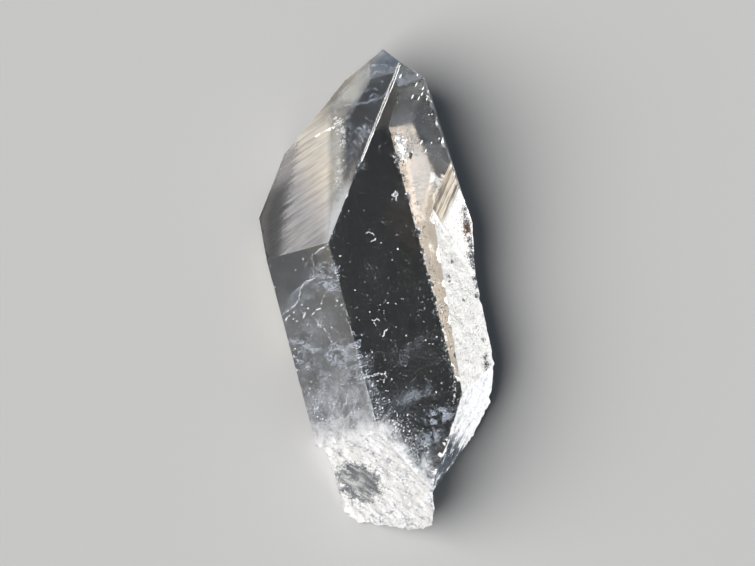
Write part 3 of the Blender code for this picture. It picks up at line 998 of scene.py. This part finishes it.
def sight(x, y):
    """Where the line of sight through a pixel meets the crystal, the outward normal there and the way on inside, in
    the crystal's own frame, and how far the way inside goes."""
    d = (MIDDLE + (PHOTO_RIGHT * float(x - 377.5) - PHOTO_UP * float(y - 283.0)) * (PX * MM) - EYE).normalized()
    o = EYE / MM - OFF
    hit, n, i, t = SKIN.ray_cast(o + d * 900, d)
    if hit is None:
        return None
    key = slots[i][0]
    flat = TABLE[key][1]
    k = 1 / 1.544
    c = -flat.dot(d)
    inner = (d * k + flat * (k * c - (1 - k * k * (1 - c * c)) ** 0.5)).normalized()
    far, n2, j, t2 = SKIN.ray_cast(hit + inner * 0.05, inner)
    return hit, flat, inner, (t2 if far else 0.0), key


def within(x, y, depth):
    """A point seen at a pixel and sealed at a depth in mm (negative: from the far side)."""
    s = sight(x, y)
    if s is None:
        return None
    hit, flat, inner, reach, key = s
    t = depth if depth >= 0 else reach + depth
    if not 0.25 < t < reach - 0.25:
        return None
    return hit + inner * t


def on_skin(x, y, lift):
    s = sight(x, y)
    return None if s is None else s[0] + s[1] * lift


RIGHT_IN, UP_IN = PHOTO_RIGHT, PHOTO_UP
FLECKS = {}


def fleck(group, p, length, width, angle=None, tilt=0.5, facing=None):
    """One small flake at a point: length and width in mm, angle in degrees in the front view, rising to the right."""
    if p is None:
        return
    a = radians(angle) if angle is not None else RNG.uniform(0, pi)
    axis = RIGHT_IN * cos(a) + UP_IN * sin(a)
    n = (-FRONT if facing is None else facing) + Vector(RNG.normal(0, tilt, 3))
    axis = (axis - n * axis.dot(n) / n.length_squared).normalized()
    side = n.cross(axis).normalized()
    points, faces = FLECKS.setdefault(group, ([], []))
    b = len(points)
    j = RNG.uniform(0.55, 1.0, 4)
    points += [p + axis * length * 0.5 * j[0], p + side * width * 0.5 * j[1], p - axis * length * 0.5 * j[2],
               p - side * width * 0.5 * j[3]]
    if width > 0.16:
        faces.append((b, b + 1, b + 2))
        faces.append((b, b + 2, b + 3))
    else:
        faces.append((b, b + 1, b + 2))


def cloud(group, cx, cy, rx, ry, turn, n, size, depth, lumps=0.12, seed=1.0, stretch=1.0, lines=None):
    """Many tiny flakes gathered in a soft patch of the front view."""
    ca, sa = cos(radians(turn)), sin(radians(turn))
    done = tries = 0
    while done < n and tries < n * 6:
        tries += 1
        u, v = RNG.normal(0, 0.5, 2)
        dx, dy = u * rx, v * ry
        x, y = cx + dx * ca + dy * sa, cy - dx * sa + dy * ca
        if smooth01((fbm((x * lumps, y * lumps, seed), 1.0, 4, seed) + 0.45) / 1.1) < RNG.uniform():
            continue
        k = RNG.uniform(0.6, 1.5) * size
        p = within(x, y, RNG.uniform(*depth))
        fleck(group, p, k * stretch, k, lines if lines is None else lines + RNG.normal(0, 8))
        done += 1


def stroke(group, pts, width, size, depth, step=0.7, stretch=1.0, chance=1.0, spread=0.0):
    """Flakes strung along a line of the front view."""
    for (x0, y0), (x1, y1) in zip(pts, pts[1:]):
        length = ((x1 - x0) ** 2 + (y1 - y0) ** 2) ** 0.5
        angle = np.degrees(np.arctan2(-(y1 - y0), x1 - x0))
        for i in range(max(1, int(length / step))):
            if RNG.uniform() > chance:
                continue
            t = (i + RNG.uniform()) / max(1, int(length / step))
            wander = 1.1 * fbm((x0 + (x1 - x0) * t, y0 + (y1 - y0) * t, 7.0), 0.22, 3, 19.0)
            fade = fbm((x0 + (x1 - x0) * t, y0 + (y1 - y0) * t, 3.0), 0.16, 3, 29.0)
            if fade < RNG.uniform(-0.75, -0.05):
                continue
            x = x0 + (x1 - x0) * t + RNG.normal(0, width * 0.5) + wander
            y = y0 + (y1 - y0) * t + RNG.normal(0, width * 0.5) + wander
            k = RNG.uniform(0.6, 1.3) * size * (1 + 0.5 * fade)
            fleck(group, within(x, y, depth + RNG.uniform(0, spread)), k * stretch, k, angle + RNG.normal(0, 10), 0.3)


def curtain(group, pts, way, reach, n, size, depth, slope, power=1.6, seed=3.0):
    """A healed fracture: a line with a veil of tiny flakes that hangs from it and thins out."""
    runs = list(zip(pts, pts[1:]))
    lengths = np.array([((b[0] - a[0]) ** 2 + (b[1] - a[1]) ** 2) ** 0.5 for a, b in runs])
    for _ in range(n):
        k = RNG.choice(len(runs), p=lengths / lengths.sum())
        (x0, y0), (x1, y1) = runs[k]
        t = RNG.uniform()
        off = reach * RNG.uniform() ** power
        x, y = x0 + (x1 - x0) * t + way[0] * off, y0 + (y1 - y0) * t + way[1] * off
        if fbm((x * 0.10, y * 0.10, seed), 1.0, 3, seed) < RNG.uniform(-0.45, 0.1):
            continue
        fleck(group, within(x, y, depth + off * slope), size * RNG.uniform(0.6, 1.4), size * RNG.uniform(0.6, 1.0))


def inside_outline(x, y, outline):
    res = False
    for (x0, y0), (x1, y1) in zip(outline, outline[1:] + outline[:1]):
        if (y0 > y) != (y1 > y) and x < x0 + (y - y0) * (x1 - x0) / (y1 - y0):
            res = not res
    return res


def scatter(group, outline, n, size, depth, density=None, stretch=(1.0, 1.8), angle=None):
    xs, ys = [p[0] for p in outline], [p[1] for p in outline]
    done = tries = 0
    while done < n and tries < n * 20:
        tries += 1
        x, y = RNG.uniform(min(xs), max(xs)), RNG.uniform(min(ys), max(ys))
        if not inside_outline(x, y, outline):
            continue
        if density is not None and RNG.uniform() > density(x, y):
            continue
        k = size[0] + (size[1] - size[0]) * RNG.uniform() ** 2.5
        fleck(group, within(x, y, RNG.uniform(*depth)), k * RNG.uniform(*stretch), k,
              None if angle is None else angle + RNG.normal(0, 15))
        done += 1


V, B, C, I = "milky_veils", "bright_chips", "dark_chips", "growth_lines"

# the left prism face: healed fractures, stepped lines and milky clouds
LINE_1 = [(328.2, 244.4), (320, 249.5), (312.9, 253.8), (312.2, 258.9), (314.4, 267.6), (321.6, 271.3)]
LINE_2 = [(321.6, 273.5), (313, 278.5), (305.6, 282.2), (300.5, 289.5), (299.1, 299.6), (292.5, 308.4)]
stroke(B, LINE_1[:3], 0.5, 0.20, 0.5, 0.45, 2.0)
stroke(B, LINE_1[2:], 1.6, 0.15, 0.5, 0.6, 1.5)
stroke(B, LINE_2, 0.6, 0.17, 0.6, 0.4, 2.0)
curtain(V, LINE_2, (-0.75, 0.55), 17, 3200, 0.12, 0.6, 0.05)
curtain(V, LINE_1, (-0.6, 0.8), 14, 1700, 0.12, 0.6, 0.05)
curtain(V, LINE_2, (0.8, 0.6), 12, 800, 0.12, 0.6, 0.05)
cloud(V, 324, 283, 9, 14, 58, 1300, 0.11, (0.4, 0.9), 0.2, 5.0, 2.2, 12)
cloud(V, 328, 266, 6, 12, 75, 600, 0.11, (0.4, 0.9), 0.2, 6.0, 2.0, 12)
for x, y, a, k in ((286.3, 319, 52, 1.1), (289, 316, 40, 0.5), (304.3, 315, 66, 1.4), (313.5, 313.5, 45, 1.0), (319, 309, 12, 1.2),
                   (297, 321, 30, 0.4), (294, 312, 60, 0.4), (321, 303, 50, 0.5), (324, 296, 60, 0.4), (302, 305, 30, 0.4),
                   (288, 311, 50, 0.4), (308, 308, 20, 0.5), (337, 301, 70, 0.5), (341, 305, 40, 0.6), (303, 259, 20, 0.3)):
    for _ in range(4):
        fleck(B, within(x + RNG.normal(0, 0.4), y + RNG.normal(0, 0.4), RNG.uniform(0.3, 0.8)), k * 1.25, 0.24, a, 0.25)
stroke(B, [(314.8, 318.5), (318, 321), (319.2, 326.2), (324.8, 329.5), (328.6, 332.8), (329, 336.5), (332, 341.5)], 1.2, 0.26, 0.5, 0.55, 1.4, 0.8)
stroke(V, [(289, 340), (303, 343.5), (313, 350.5), (322, 349.5), (327.5, 355)], 3.0, 0.16, 0.8, 0.08, 1.6, spread=1.0)
stroke(V, [(293, 357), (303, 363.5), (309, 368)], 2.6, 0.16, 0.8, 0.1, 1.6, spread=1.0)
cloud(V, 339, 354, 13, 13, 40, 1900, 0.11, (0.4, 1.2), 0.2, 7.0, 2.4, 14)
cloud(V, 300, 347, 20, 14, -25, 1900, 0.11, (0.6, 2.5), 0.13, 8.0)
cloud(V, 316, 325, 22, 16, 30, 1700, 0.11, (0.8, 3.0), 0.11, 9.0)
cloud(V, 304, 296, 16, 16, 30, 1000, 0.11, (0.8, 3.0), 0.12, 10.0)
cloud(V, 325, 374, 30, 20, 0, 3000, 0.11, (0.5, 4.5), 0.07, 11.0)
cloud(V, 338, 394, 26, 14, 10, 900, 0.11, (0.5, 4.5), 0.09, 12.0)
for x0, x1, top, bottom in ((322, 340, 266, 300), (338, 361, 341, 360), (340, 364, 362, 384)):
    for i in range(13):
        k = (i + 0.5) / 13
        y0 = top + (bottom - top) * k
        left = x1 - (x1 - x0) * (0.25 + 0.75 * sin(pi * min(1.0, k * 1.1)))
        stroke(V, [(left, y0 + 1.5), (x1, y0 - 2.5)], 0.4, 0.13, 0.4, 0.4, 2.6, 0.85)
M1_LOW = [(285, 330), (352, 330), (361, 372), (367, 390), (374, 405), (362, 446), (318, 443), (312, 432), (300, 388)]
scatter(V, M1_LOW, 4800, (0.06, 0.20), (0.4, 5.5),
        lambda x, y: (0.04 + ((y - 330) / 118.0) ** 2) * (0.75 + 1.3 * fbm((x * 0.055, y * 0.07, 2.0), 1.0, 4, 14.0)), (1.0, 2.0))
M1_ALL = [(268, 262), (328, 246), (352, 330), (372, 400), (318, 440), (300, 388), (282, 318)]
scatter(B, M1_ALL, 420, (0.10, 0.34), (0.3, 2.0), lambda x, y: 0.25 + (y - 250) / 250.0, (1.0, 2.0), 40)
for i in range(26):
    x, y = RNG.uniform(318, 360), RNG.uniform(385, 430)
    stroke(V, [(x, y), (x + RNG.uniform(-9, -2), y + RNG.uniform(8, 22))], 0.5, 0.13, RNG.uniform(0.5, 2.0), 0.5, 2.2)

# the wide face: the dark window
WINDOW = [(394, 150), (401, 169), (408, 191), (415, 219), (423, 245), (431, 281), (446, 330), (456, 372), (459, 388), (448, 418),
          (433, 484), (423, 490), (409, 464), (390, 450), (380, 432), (331, 248), (340, 215), (366, 150)]
scatter(B, WINDOW, 900, (0.09, 0.30), (0.3, 6.0), lambda x, y: 0.12 + max(0.0, (y - 240) / 210.0) * (0.5 + 1.2 * fbm((x * 0.05, y * 0.05, 0), 1.0, 2, 21.0)), (1.0, 1.9))
scatter(V, WINDOW, 3600, (0.05, 0.13), (0.3, 6.0), lambda x, y: max(0.0, 0.25 + (y - 300) / 300.0 + fbm((x * 0.04, y * 0.04, 0), 1.0, 3, 23.0)))
for x, y, k in ((369.8, 311.8, 0.26), (361.8, 335.1, 0.22), (372.3, 352.5, 0.3), (367.6, 362, 0.2), (388, 303, 0.22), (396, 303.7, 0.2),
                (425.5, 340.2, 0.26), (436.7, 336.5, 0.3), (433, 343.8, 0.2), (406.2, 335.8, 0.2), (391, 340, 0.18), (398, 249, 0.35),
                (340, 256, 0.32), (381, 243, 0.2), (392, 260, 0.2), (350, 262, 0.16), (441, 383, 0.25), (436, 392, 0.3), (369, 265, 0.15),
                (355.5, 290, 0.22), (365, 282, 0.18), (428, 452, 0.3), (414, 448, 0.22), (392, 379, 0.25), (405, 366, 0.2)):
    for _ in range(2):
        fleck(B, within(x + RNG.normal(0, 0.3), y + RNG.normal(0, 0.3), RNG.uniform(0.4, 1.5)), k * 2.0, k * 1.5, None, 0.3)
for _ in range(26):
    fleck(B, within(395.5 + RNG.normal(0, 1.5), 195 + RNG.normal(0, 2.3), 1.0 + RNG.uniform(0, 0.5)), 0.6, 0.4, 80, 0.4)
cloud(V, 398, 200, 9, 9, 0, 160, 0.08, (0.8, 1.8), 0.2, 31.0)
stroke(B, [(365.5, 233.5), (369.5, 232.5), (373, 233.5), (375, 236.2)], 0.3, 0.18, 0.8, 0.4, 2.0)
stroke(B, [(372.4, 242), (375.4, 239)], 0.4, 0.26, 0.8, 0.4, 2.0)
stroke(B, [(373, 321), (377, 318.3), (380.5, 321.5)], 0.5, 0.17, 0.8, 0.4, 2.0)
stroke(B, [(374, 322), (375.5, 326)], 0.5, 0.15, 0.8, 0.5, 2.0)
stroke(B, [(383.4, 336), (386.6, 328.6)], 0.35, 0.3, 0.8, 0.4, 2.0)
ring = [(404 + 4.4 * cos(a), 358.5 + 3.6 * sin(a)) for a in np.linspace(0, 2 * pi, 15)]
stroke(V, ring, 0.5, 0.13, 1.5, 0.45, 1.6)
stroke(V, [(392, 367), (399, 364), (405, 366), (409, 362)], 0.7, 0.12, 1.4, 0.4, 1.6)
stroke(B, [(366.2, 377.3), (373, 375.5), (381, 374), (386.8, 373.4)], 1.0, 0.28, 0.8, 0.5, 1.6, 0.75)
stroke(B, [(367, 381.6), (374, 382.5), (384.8, 377.9)], 1.2, 0.24, 0.8, 0.6, 1.6, 0.6)
stroke(B, [(386.6, 374), (385.5, 379), (383.5, 382)], 0.9, 0.24, 0.8, 0.8, 1.5, 0.6)
stroke(B, [(374.5, 375.5), (372, 382)], 0.8, 0.2, 0.8, 0.8, 1.5, 0.5)
stroke(B, [(398.2, 373.4), (406, 371.6), (417, 369.3), (429, 365), (441.8, 359.8)], 0.5, 0.11, 1.5, 1.0, 1.5, 0.7)
stroke(B, [(360, 362), (376, 352), (388, 353.5), (402, 350)], 1.4, 0.10, 1.5, 0.7, 1.6, 0.7)
stroke(V, [(350, 331), (357, 336), (366, 333)], 1.6, 0.13, 1.0, 0.35, 1.6)
cloud(V, 416, 396, 20, 11, 24, 2600, 0.11, (1.5, 3.5), 0.08, 33.0)
cloud(V, 440, 416, 13, 7, 10, 2200, 0.12, (1.0, 2.5), 0.14, 34.0, 2.2, 8)
cloud(V, 432, 438, 12, 7, 24, 2200, 0.13, (1.0, 2.2), 0.2, 35.0)
cloud(V, 421, 345, 18, 13, 20, 800, 0.09, (1.0, 3.5), 0.10, 36.0)
cloud(V, 404, 354, 24, 9, 15, 600, 0.09, (1.0, 3.5), 0.10, 37.0)
cloud(V, 424, 462, 15, 22, 70, 1800, 0.11, (0.8, 3.0), 0.12, 38.0)
cloud(V, 398, 402, 24, 16, 20, 1400, 0.09, (1.0, 3.5), 0.08, 39.0)


def near_root(x, y):
    """1 beside the broken root's upper rim, falling to 0 some 60 pixels above it."""
    rim = 432 + (x - 380) * 1.05 if x > 380 else 400 + (x - 372) * 4.0
    return smooth01(1 - (rim - y) / 62.0) * smooth01((rim - y + 6) / 10.0)


LOW_WIDE = [(350, 350), (400, 360), (430, 420), (432, 484), (424, 480), (409, 464), (390, 450), (378, 428), (366, 385)]
scatter(B, LOW_WIDE, 620, (0.12, 0.50), (0.4, 2.5),
        lambda x, y: near_root(x, y) * (0.2 + 1.3 * max(0, fbm((x * 0.09, y * 0.09, 0), 1.0, 2, 24.0))), (1.0, 1.9), 50)
scatter(V, LOW_WIDE, 4200, (0.07, 0.20), (0.4, 2.5),
        lambda x, y: near_root(x, y) * (0.35 + 0.9 * fbm((x * 0.08, y * 0.08, 0), 1.0, 3, 25.0)), (1.0, 1.8), 60)
scatter(C, LOW_WIDE, 180, (0.12, 0.36), (0.3, 1.0), near_root, (1.0, 2.0), 50)
BACK_EDGE = [(395, 152), (397, 165), (401, 169), (405.4, 179), (408.4, 191), (411.3, 203), (415.7, 219), (420, 232), (423, 245),
             (426.4, 264.8), (431.2, 281), (437.6, 303), (446.4, 330), (449.6, 353), (456, 372), (457, 392), (452, 412)]
for (x0, y0), (x1, y1) in zip(BACK_EDGE, BACK_EDGE[1:]):
    for _ in range(int(((x1 - x0) ** 2 + (y1 - y0) ** 2) ** 0.5 * (0.9 if y0 < 300 else 2.2))):
        t = RNG.uniform()
        side = abs(RNG.normal(0, 1.5 if y0 < 300 else 3.4))
        k = RNG.uniform(0.16, 0.5) * (1 if side < 2 else 0.6)
        fleck(B if RNG.uniform() < 0.75 else C, within(x0 + (x1 - x0) * t - side, y0 + (y1 - y0) * t, -RNG.uniform(0.5, 1.4)),
              k * 1.6, k, RNG.uniform(20, 100), 0.6)

# the tip: wisps in the dark part, etch marks, the line of the far edge
for pts in ([(365, 78), (371, 76), (377, 72.5), (385, 71.5)], [(366, 92), (372, 88), (378, 90)], [(372, 66), (381, 64.5), (388, 66)],
            [(345, 105.5), (355, 104.6), (366, 102.5), (374, 99), (380, 95.5)], [(362, 104), (371, 100), (380, 98), (390, 92)],
            [(352, 133), (360, 128), (368, 132), (372, 134)], [(368, 99), (373, 94), (379, 95.5)], [(376, 80), (384, 82)]):
    stroke(V, pts, 1.0, 0.12, 1.2, 0.12, 2.4)
cloud(V, 371, 98, 12, 8, 25, 420, 0.08, (1.0, 2.5), 0.15, 41.0, 2.0, 25)
cloud(V, 379, 74, 12, 9, 15, 150, 0.08, (1.0, 2.5), 0.15, 42.0, 2.0, 20)
cloud(V, 352, 124, 9, 6, 0, 260, 0.08, (1.0, 2.5), 0.15, 43.0)
cloud(B, 341, 132, 4, 15, 10, 210, 0.36, (0.4, 1.4), 0.2, 44.0)
cloud(B, 338, 172, 3, 14, 0, 90, 0.26, (0.4, 1.4), 0.2, 45.0)
cloud(V, 337, 186, 6, 26, 0, 700, 0.10, (0.4, 1.6), 0.12, 46.0)
cloud(V, 330, 222, 6, 20, -15, 900, 0.12, (0.4, 1.6), 0.12, 47.0)
for x, y, k in ((381, 85.2, 0.22), (362.3, 111, 0.16), (397.6, 102.6, 0.2), (359, 136, 0.2), (356.5, 142, 0.3), (380, 135.6, 0.16)):
    fleck(B, within(x, y, 0.8), k * 1.3, k, None, 0.3)
DASHES = ((400.5, 76, 1.0), (417.4, 75, 0.7), (416.3, 84.4, 1.2), (422.8, 88.7, 0.8), (421.8, 94.1, 0.9), (427.8, 92, 0.8),
          (412.6, 96.7, 1.0), (418.6, 98.4, 1.0), (426.7, 99, 0.6), (431.5, 101.7, 0.6), (405.8, 141, 1.2), (421.3, 142.4, 1.0),
          (431.5, 142.6, 0.5), (425.6, 150.8, 0.9), (428.8, 114.8, 0.4), (432, 114.3, 0.4), (436.5, 118, 0.5), (409, 66.7, 0.9),
          (439, 138.5, 0.4), (443, 138, 0.4), (404, 152, 0.6))
for x, y, k in DASHES:
    for _ in range(4):
        fleck(B, on_skin(x + RNG.normal(0, 0.12), y + RNG.normal(0, 0.12), 0.015), k * 1.15, 0.21, 58, 0.03, TABLE["prism_2"][1])
    if k >= 0.8:
        fleck(C, on_skin(x - 3.2, y + 0.6, 0.012), k * 0.8, 0.26, 30, 0.06, TABLE["prism_2"][1])
stroke(B, [(375.5, 149.5), (380, 147), (384, 144), (388, 142)], 0.4, 0.32, 1.2, 1.3, 1.8, 0.8)
# the worn white line between the left tip face and the wide face
line = [(400.2, 64.8), (394.5, 81), (387.6, 98), (380.2, 116), (372.6, 134.5), (366, 151), (361.8, 161)]
for (x0, y0), (x1, y1) in zip(line, line[1:]):
    for i in range(26):
        t = RNG.uniform()
        x, y = x0 + (x1 - x0) * t + RNG.normal(0, 0.05), y0 + (y1 - y0) * t
        fleck(B, on_skin(x, y, 0.01), RNG.uniform(0.5, 0.9), RNG.uniform(0.17, 0.22), 68, 0.05, (TABLE["prism_2"][1] + TABLE["tip_1"][1]).normalized())
for _ in range(80):
    fleck(B, within(361.5 + RNG.normal(0, 3.0), 166 + RNG.normal(0, 2.6), RNG.uniform(0.3, 0.9)), 0.3, 0.13, None, 0.5)
ring = [(359 + 4.6 * cos(a), 165 + 5.0 * sin(a)) for a in np.linspace(1.7, 4.9, 9)]
stroke(B, ring, 0.2, 0.1, 0.4, 0.5, 2.0)
for _ in range(120):
    x, y = 352 + RNG.normal(0, 2), 172 + RNG.uniform(-2, 14)
    fleck(B, within(x - (y - 172) * 0.45, y, RNG.uniform(0.3, 0.8)), 0.24, 0.10, 65, 0.5)
for _ in range(170):
    fleck(B if RNG.uniform() < 0.8 else C, within(400.5 + RNG.normal(0, 3.0), 150 + RNG.normal(0, 8.0), -RNG.uniform(0.5, 2.5)), 0.5, 0.32, 60, 0.5)
for _ in range(130):
    x, y = 401.5 + RNG.normal(0, 1.9), 147 + RNG.normal(0, 5.0)
    if fbm((x * 0.2, y * 0.2, 0), 1.0, 2, 83.0) > -0.15:
        fleck(B, on_skin(x + (y - 147) * 0.25, y, 0.012), RNG.uniform(0.25, 0.6), RNG.uniform(0.17, 0.3), None, 0.05,
              TABLE["prism_2"][1])
for _ in range(200):
    x, y = 401.5 + RNG.normal(0, 1.9), 147 + RNG.normal(0, 5.5)
    fleck(B, within(x + (y - 147) * 0.25, y, RNG.uniform(0.3, 1.1)), 0.55, 0.34, 60, 0.3)
for _ in range(26):
    fleck(C, within(410.5 + RNG.normal(0, 0.9), 155 + RNG.normal(0, 1.5), RNG.uniform(0.8, 1.4)), 0.6, 0.4, 70, 0.2)
UPPER = [(403, 66), (424, 78), (446, 145), (430, 178), (404, 160), (396, 120)]
scatter(V, UPPER, 900, (0.05, 0.15), (0.3, 3.5), lambda x, y: 0.15 + 0.8 * fbm((x * 0.06, y * 0.1, 0), 1.0, 3, 27.0), (1.0, 2.6), 12)

# growth lines in the warm strip
for y0 in (176, 181, 186.5, 190, 196, 203, 208.5, 212):
    w = RNG.uniform(12, 20)
    x0 = 409 + (y0 - 176) * 0.27
    bend = RNG.uniform(-3, 3)
    stroke(I, [(x0, y0 + 2), (x0 + w * 0.5, y0 + bend * 0.5), (x0 + w, y0 - 2)], 0.3, 0.075, 1.6, 0.35, 2.4)
stroke(I, [(417, 201), (422, 205), (428, 211)], 0.3, 0.10, 1.6, 0.3, 2.4)
scatter(I, [(408, 175), (430, 178), (432, 205), (447, 300), (437, 302), (418, 220)], 90, (0.06, 0.16), (0.5, 2.0), None, (1.0, 3.0), 10)
for x, y in ((410, 188), (412.5, 193), (416, 217), (420, 229), (425, 260), (433, 283), (440, 306)):
    for _ in range(9):
        fleck(B, within(x + RNG.normal(0, 1.4), y + RNG.normal(0, 1.6), -RNG.uniform(0.4, 1.0)), 0.42, 0.28, None, 0.5)

# specks on the frosted band, and the iron stain near its right rim
BAND = [(446, 235), (474, 228), (484, 306), (492, 362), (480, 400), (462, 385), (455, 320)]
xs, ys = [p[0] for p in BAND], [p[1] for p in BAND]
for _ in range(1500):
    x, y = RNG.uniform(min(xs), max(xs)), RNG.uniform(min(ys), max(ys))
    if inside_outline(x, y, BAND) and fbm((x * 0.07, y * 0.07, 0), 1.0, 2, 71.0) > RNG.uniform(-0.3, 0.4):
        k = 0.09 + 0.26 * RNG.uniform() ** 3
        s = sight(x, y)
        if s:
            fleck("grey_specks", s[0] + s[1] * 0.02, k * 1.8, k, 60 + RNG.normal(0, 25), 0.1, s[1])
PITS = ((464.4, 209, 2.6), (464.6, 215, 2.2), (466, 222, 3.4), (469.6, 240, 2.8), (471.2, 246, 2.6), (471.8, 256, 4.4),
        (472.6, 263, 3.0), (474.4, 268, 2.2), (475.2, 279, 2.6), (476.8, 286, 2.4), (476.4, 296, 2.4), (485.4, 357, 2.4),
        (486.4, 364, 2.8), (488, 370, 2.6), (483, 340, 1.6), (463, 300, 1.2), (452, 262, 1.6), (448.6, 277, 1.6), (449.5, 281, 1.4))
for px, py, r in PITS:
    r *= 1.3
    for _ in range(int(9 * r * r)):
        x, y = px + RNG.normal(0, r * 0.42), py + RNG.normal(0, r * 0.5)
        s = sight(x, y)
        if s and s[4] in ("wall", "prism_3", "ramp"):
            fleck("dark_pits", s[0] + s[1] * RNG.uniform(0.01, 0.05), RNG.uniform(0.12, 0.45), RNG.uniform(0.1, 0.3), None, 0.2, s[1])
for _ in range(900):
    x, y = 467.0 + RNG.normal(0, 2.1), 229 + RNG.normal(0, 3.4)
    s = sight(x, y)
    if s and s[4] in ("wall", "prism_3", "ramp") and fbm((x * 0.25, y * 0.25, 0), 1.0, 2, 81.0) > RNG.uniform(-0.5, 0.1):
        fleck("iron_stain", s[0] + s[1] * RNG.uniform(0.01, 0.04), RNG.uniform(0.12, 0.34), RNG.uniform(0.1, 0.24), None, 0.1, s[1])

LOOKS = {
    V: ("milky_quartz", fleck_material("veil_white", (0.62, 0.67, 0.76))),
    B: ("frosted_quartz", fleck_material("chip_white", (0.95, 0.96, 0.97), 0.25)),
    C: ("clear_quartz", fleck_material("chip_dark", (0.03, 0.035, 0.04), 0.15)),
    I: ("iron_stain", fleck_material("growth_brown", (0.42, 0.27, 0.14))),
    "grey_specks": ("frosted_quartz", fleck_material("speck_grey", (0.34, 0.35, 0.37))),
    "dark_pits": ("frosted_quartz", fleck_material("pit_dark", (0.07, 0.075, 0.09), 0.3)),
    "iron_stain": ("iron_stain", fleck_material("iron_brown", (0.085, 0.040, 0.012), 0.5)),
}
inner_things = []
for name, (points, faces) in FLECKS.items():
    me = bpy.data.meshes.new(name)
    me.from_pydata([(p + OFF) * MM for p in points], [], faces)
    me.materials.append(LOOKS[name][1])
    ob = bpy.data.objects.new(name, me)
    bpy.context.scene.collection.objects.link(ob)
    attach(ob, "root")
    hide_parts(NODE)
    print(name, len(faces), "triangles")
    if name in (V, B, C, I):
        inner_things.append(ob)

# ------------------------------------------------------------------ floor, lights and camera

bpy.ops.mesh.primitive_plane_add(size=6.0, location=(0, 0, -0.00005))
floor = bpy.context.active_object
floor.name = "floor"
fm, nt, p = material("floor_pale")
p.inputs["Base Color"].default_value = (0.72, 0.72, 0.715, 1)
p.inputs["Roughness"].default_value = 0.7
floor.data.materials.append(fm)

cam_data = bpy.data.cameras.new("camera")
cam = bpy.data.objects.new("camera", cam_data)
bpy.context.scene.collection.objects.link(cam)
bpy.context.scene.camera = cam
cam_data.sensor_width = 36.0
cam_data.lens = 5.25 * (DISTANCE / MM) * 36.0 / 755.0
cam_data.clip_start, cam_data.clip_end = 0.01, 50.0
rot = Matrix((PHOTO_RIGHT, PHOTO_UP, -FRONT)).transposed()
cam.matrix_world = Matrix.Translation(EYE) @ rot.to_4x4()


def area(name, way, size, power, colour=(1, 1, 1), distance=0.9, at=Vector((0, 0, 0.01))):
    data = bpy.data.lights.new(name, "AREA")
    data.shape = "RECTANGLE"
    data.size, data.size_y = size
    data.energy = power
    data.color = colour
    ob = bpy.data.objects.new(name, data)
    bpy.context.scene.collection.objects.link(ob)
    ob.location = at + way.normalized() * distance
    ob.rotation_euler = way.normalized().to_track_quat("Z", "Y").to_euler()
    return ob


def linked(light, word, objects, state):
    c = bpy.data.collections.new(light.name + "_" + word)
    for i, ob in enumerate(objects):
        c.objects.link(ob)
        c.collection_objects[i].light_linking.link_state = state
    return c


def passes(light, objects):
    """The light shines on through these objects, so that what lies in or under the clear crystal gets some of it."""
    light.light_linking.blocker_collection = linked(light, "passes", objects, "EXCLUDE")


def spares(light, objects):
    """The light is screened off from these objects."""
    light.light_linking.receiver_collection = linked(light, "spares", objects, "EXCLUDE")


def only(light, objects):
    light.light_linking.receiver_collection = linked(light, "only", objects, "INCLUDE")


KEY_WAY = Vector((-0.85, 0.10, 0.62))
key = area("key", KEY_WAY, (0.8, 0.8), 12.0, (1.0, 0.97, 0.93))
spares(key, [floor])
even = bpy.data.objects.new("floor_light", bpy.data.lights.new("floor_light", "SUN"))
even.data.energy = 3.9
even.data.angle = radians(46)
even.data.color = (1.0, 0.985, 0.965)
even.rotation_euler = KEY_WAY.to_track_quat("Z", "Y").to_euler()
bpy.context.scene.collection.objects.link(even)
only(even, [floor])
left_card = area("left_card", Vector((-1.0, -0.12, 0.10)), (1.9, 0.34), 1.3, (1.0, 0.77, 0.52), 1.0)
spares(left_card, [floor])
fill = area("fill", Vector((0.55, -0.9, 0.8)), (0.7, 0.7), 1.0, (0.93, 0.97, 1.0))
spares(fill, [floor])
rim = area("rim", Vector((cos(radians(-62)), sin(radians(-62)), 0.84)), (0.3, 0.3), 13.5, (1.0, 0.985, 0.965), 1.0)
back_card = area("left_card_2", Vector((cos(radians(-149)), sin(radians(-149)), 0.0)), (0.34, 0.22), 0.25, (1.0, 0.80, 0.60), 0.85)
spares(back_card, [floor])
card = area("right_card", Vector((cos(radians(-22)) * 0.93, sin(radians(-22)) * 0.93, 0.37)), (0.42, 0.15), 0.12, (1.0, 0.78, 0.55), 1.0)
spares(card, [floor])
spares(rim, [floor])
through = area("key_through", KEY_WAY, (0.8, 0.8), 0.2, (0.68, 0.80, 1.0))
passes(through, [body])
spares(through, inner_things)
for name, way, power in (("inner_key", KEY_WAY, 11.0), ("inner_fill", Vector((0.6, -0.5, 0.8)), 4.0)):
    light = area(name, way, (0.8, 0.8), power, (0.96, 0.98, 1.0))
    passes(light, [body])
    only(light, inner_things)
world = bpy.data.worlds.new("world")
bpy.context.scene.world = world
world.use_nodes = True
world.node_tree.nodes["Background"].inputs["Color"].default_value = (0.78, 0.88, 1.0, 1)
world.node_tree.nodes["Background"].inputs["Strength"].default_value = 0.075

scene = bpy.context.scene
scene.view_settings.view_transform = "Standard"
scene.cycles.caustics_refractive = False
scene.cycles.caustics_reflective = False
scene.cycles.max_bounces = 24
scene.cycles.transmission_bounces = 24
scene.cycles.glossy_bounces = 16
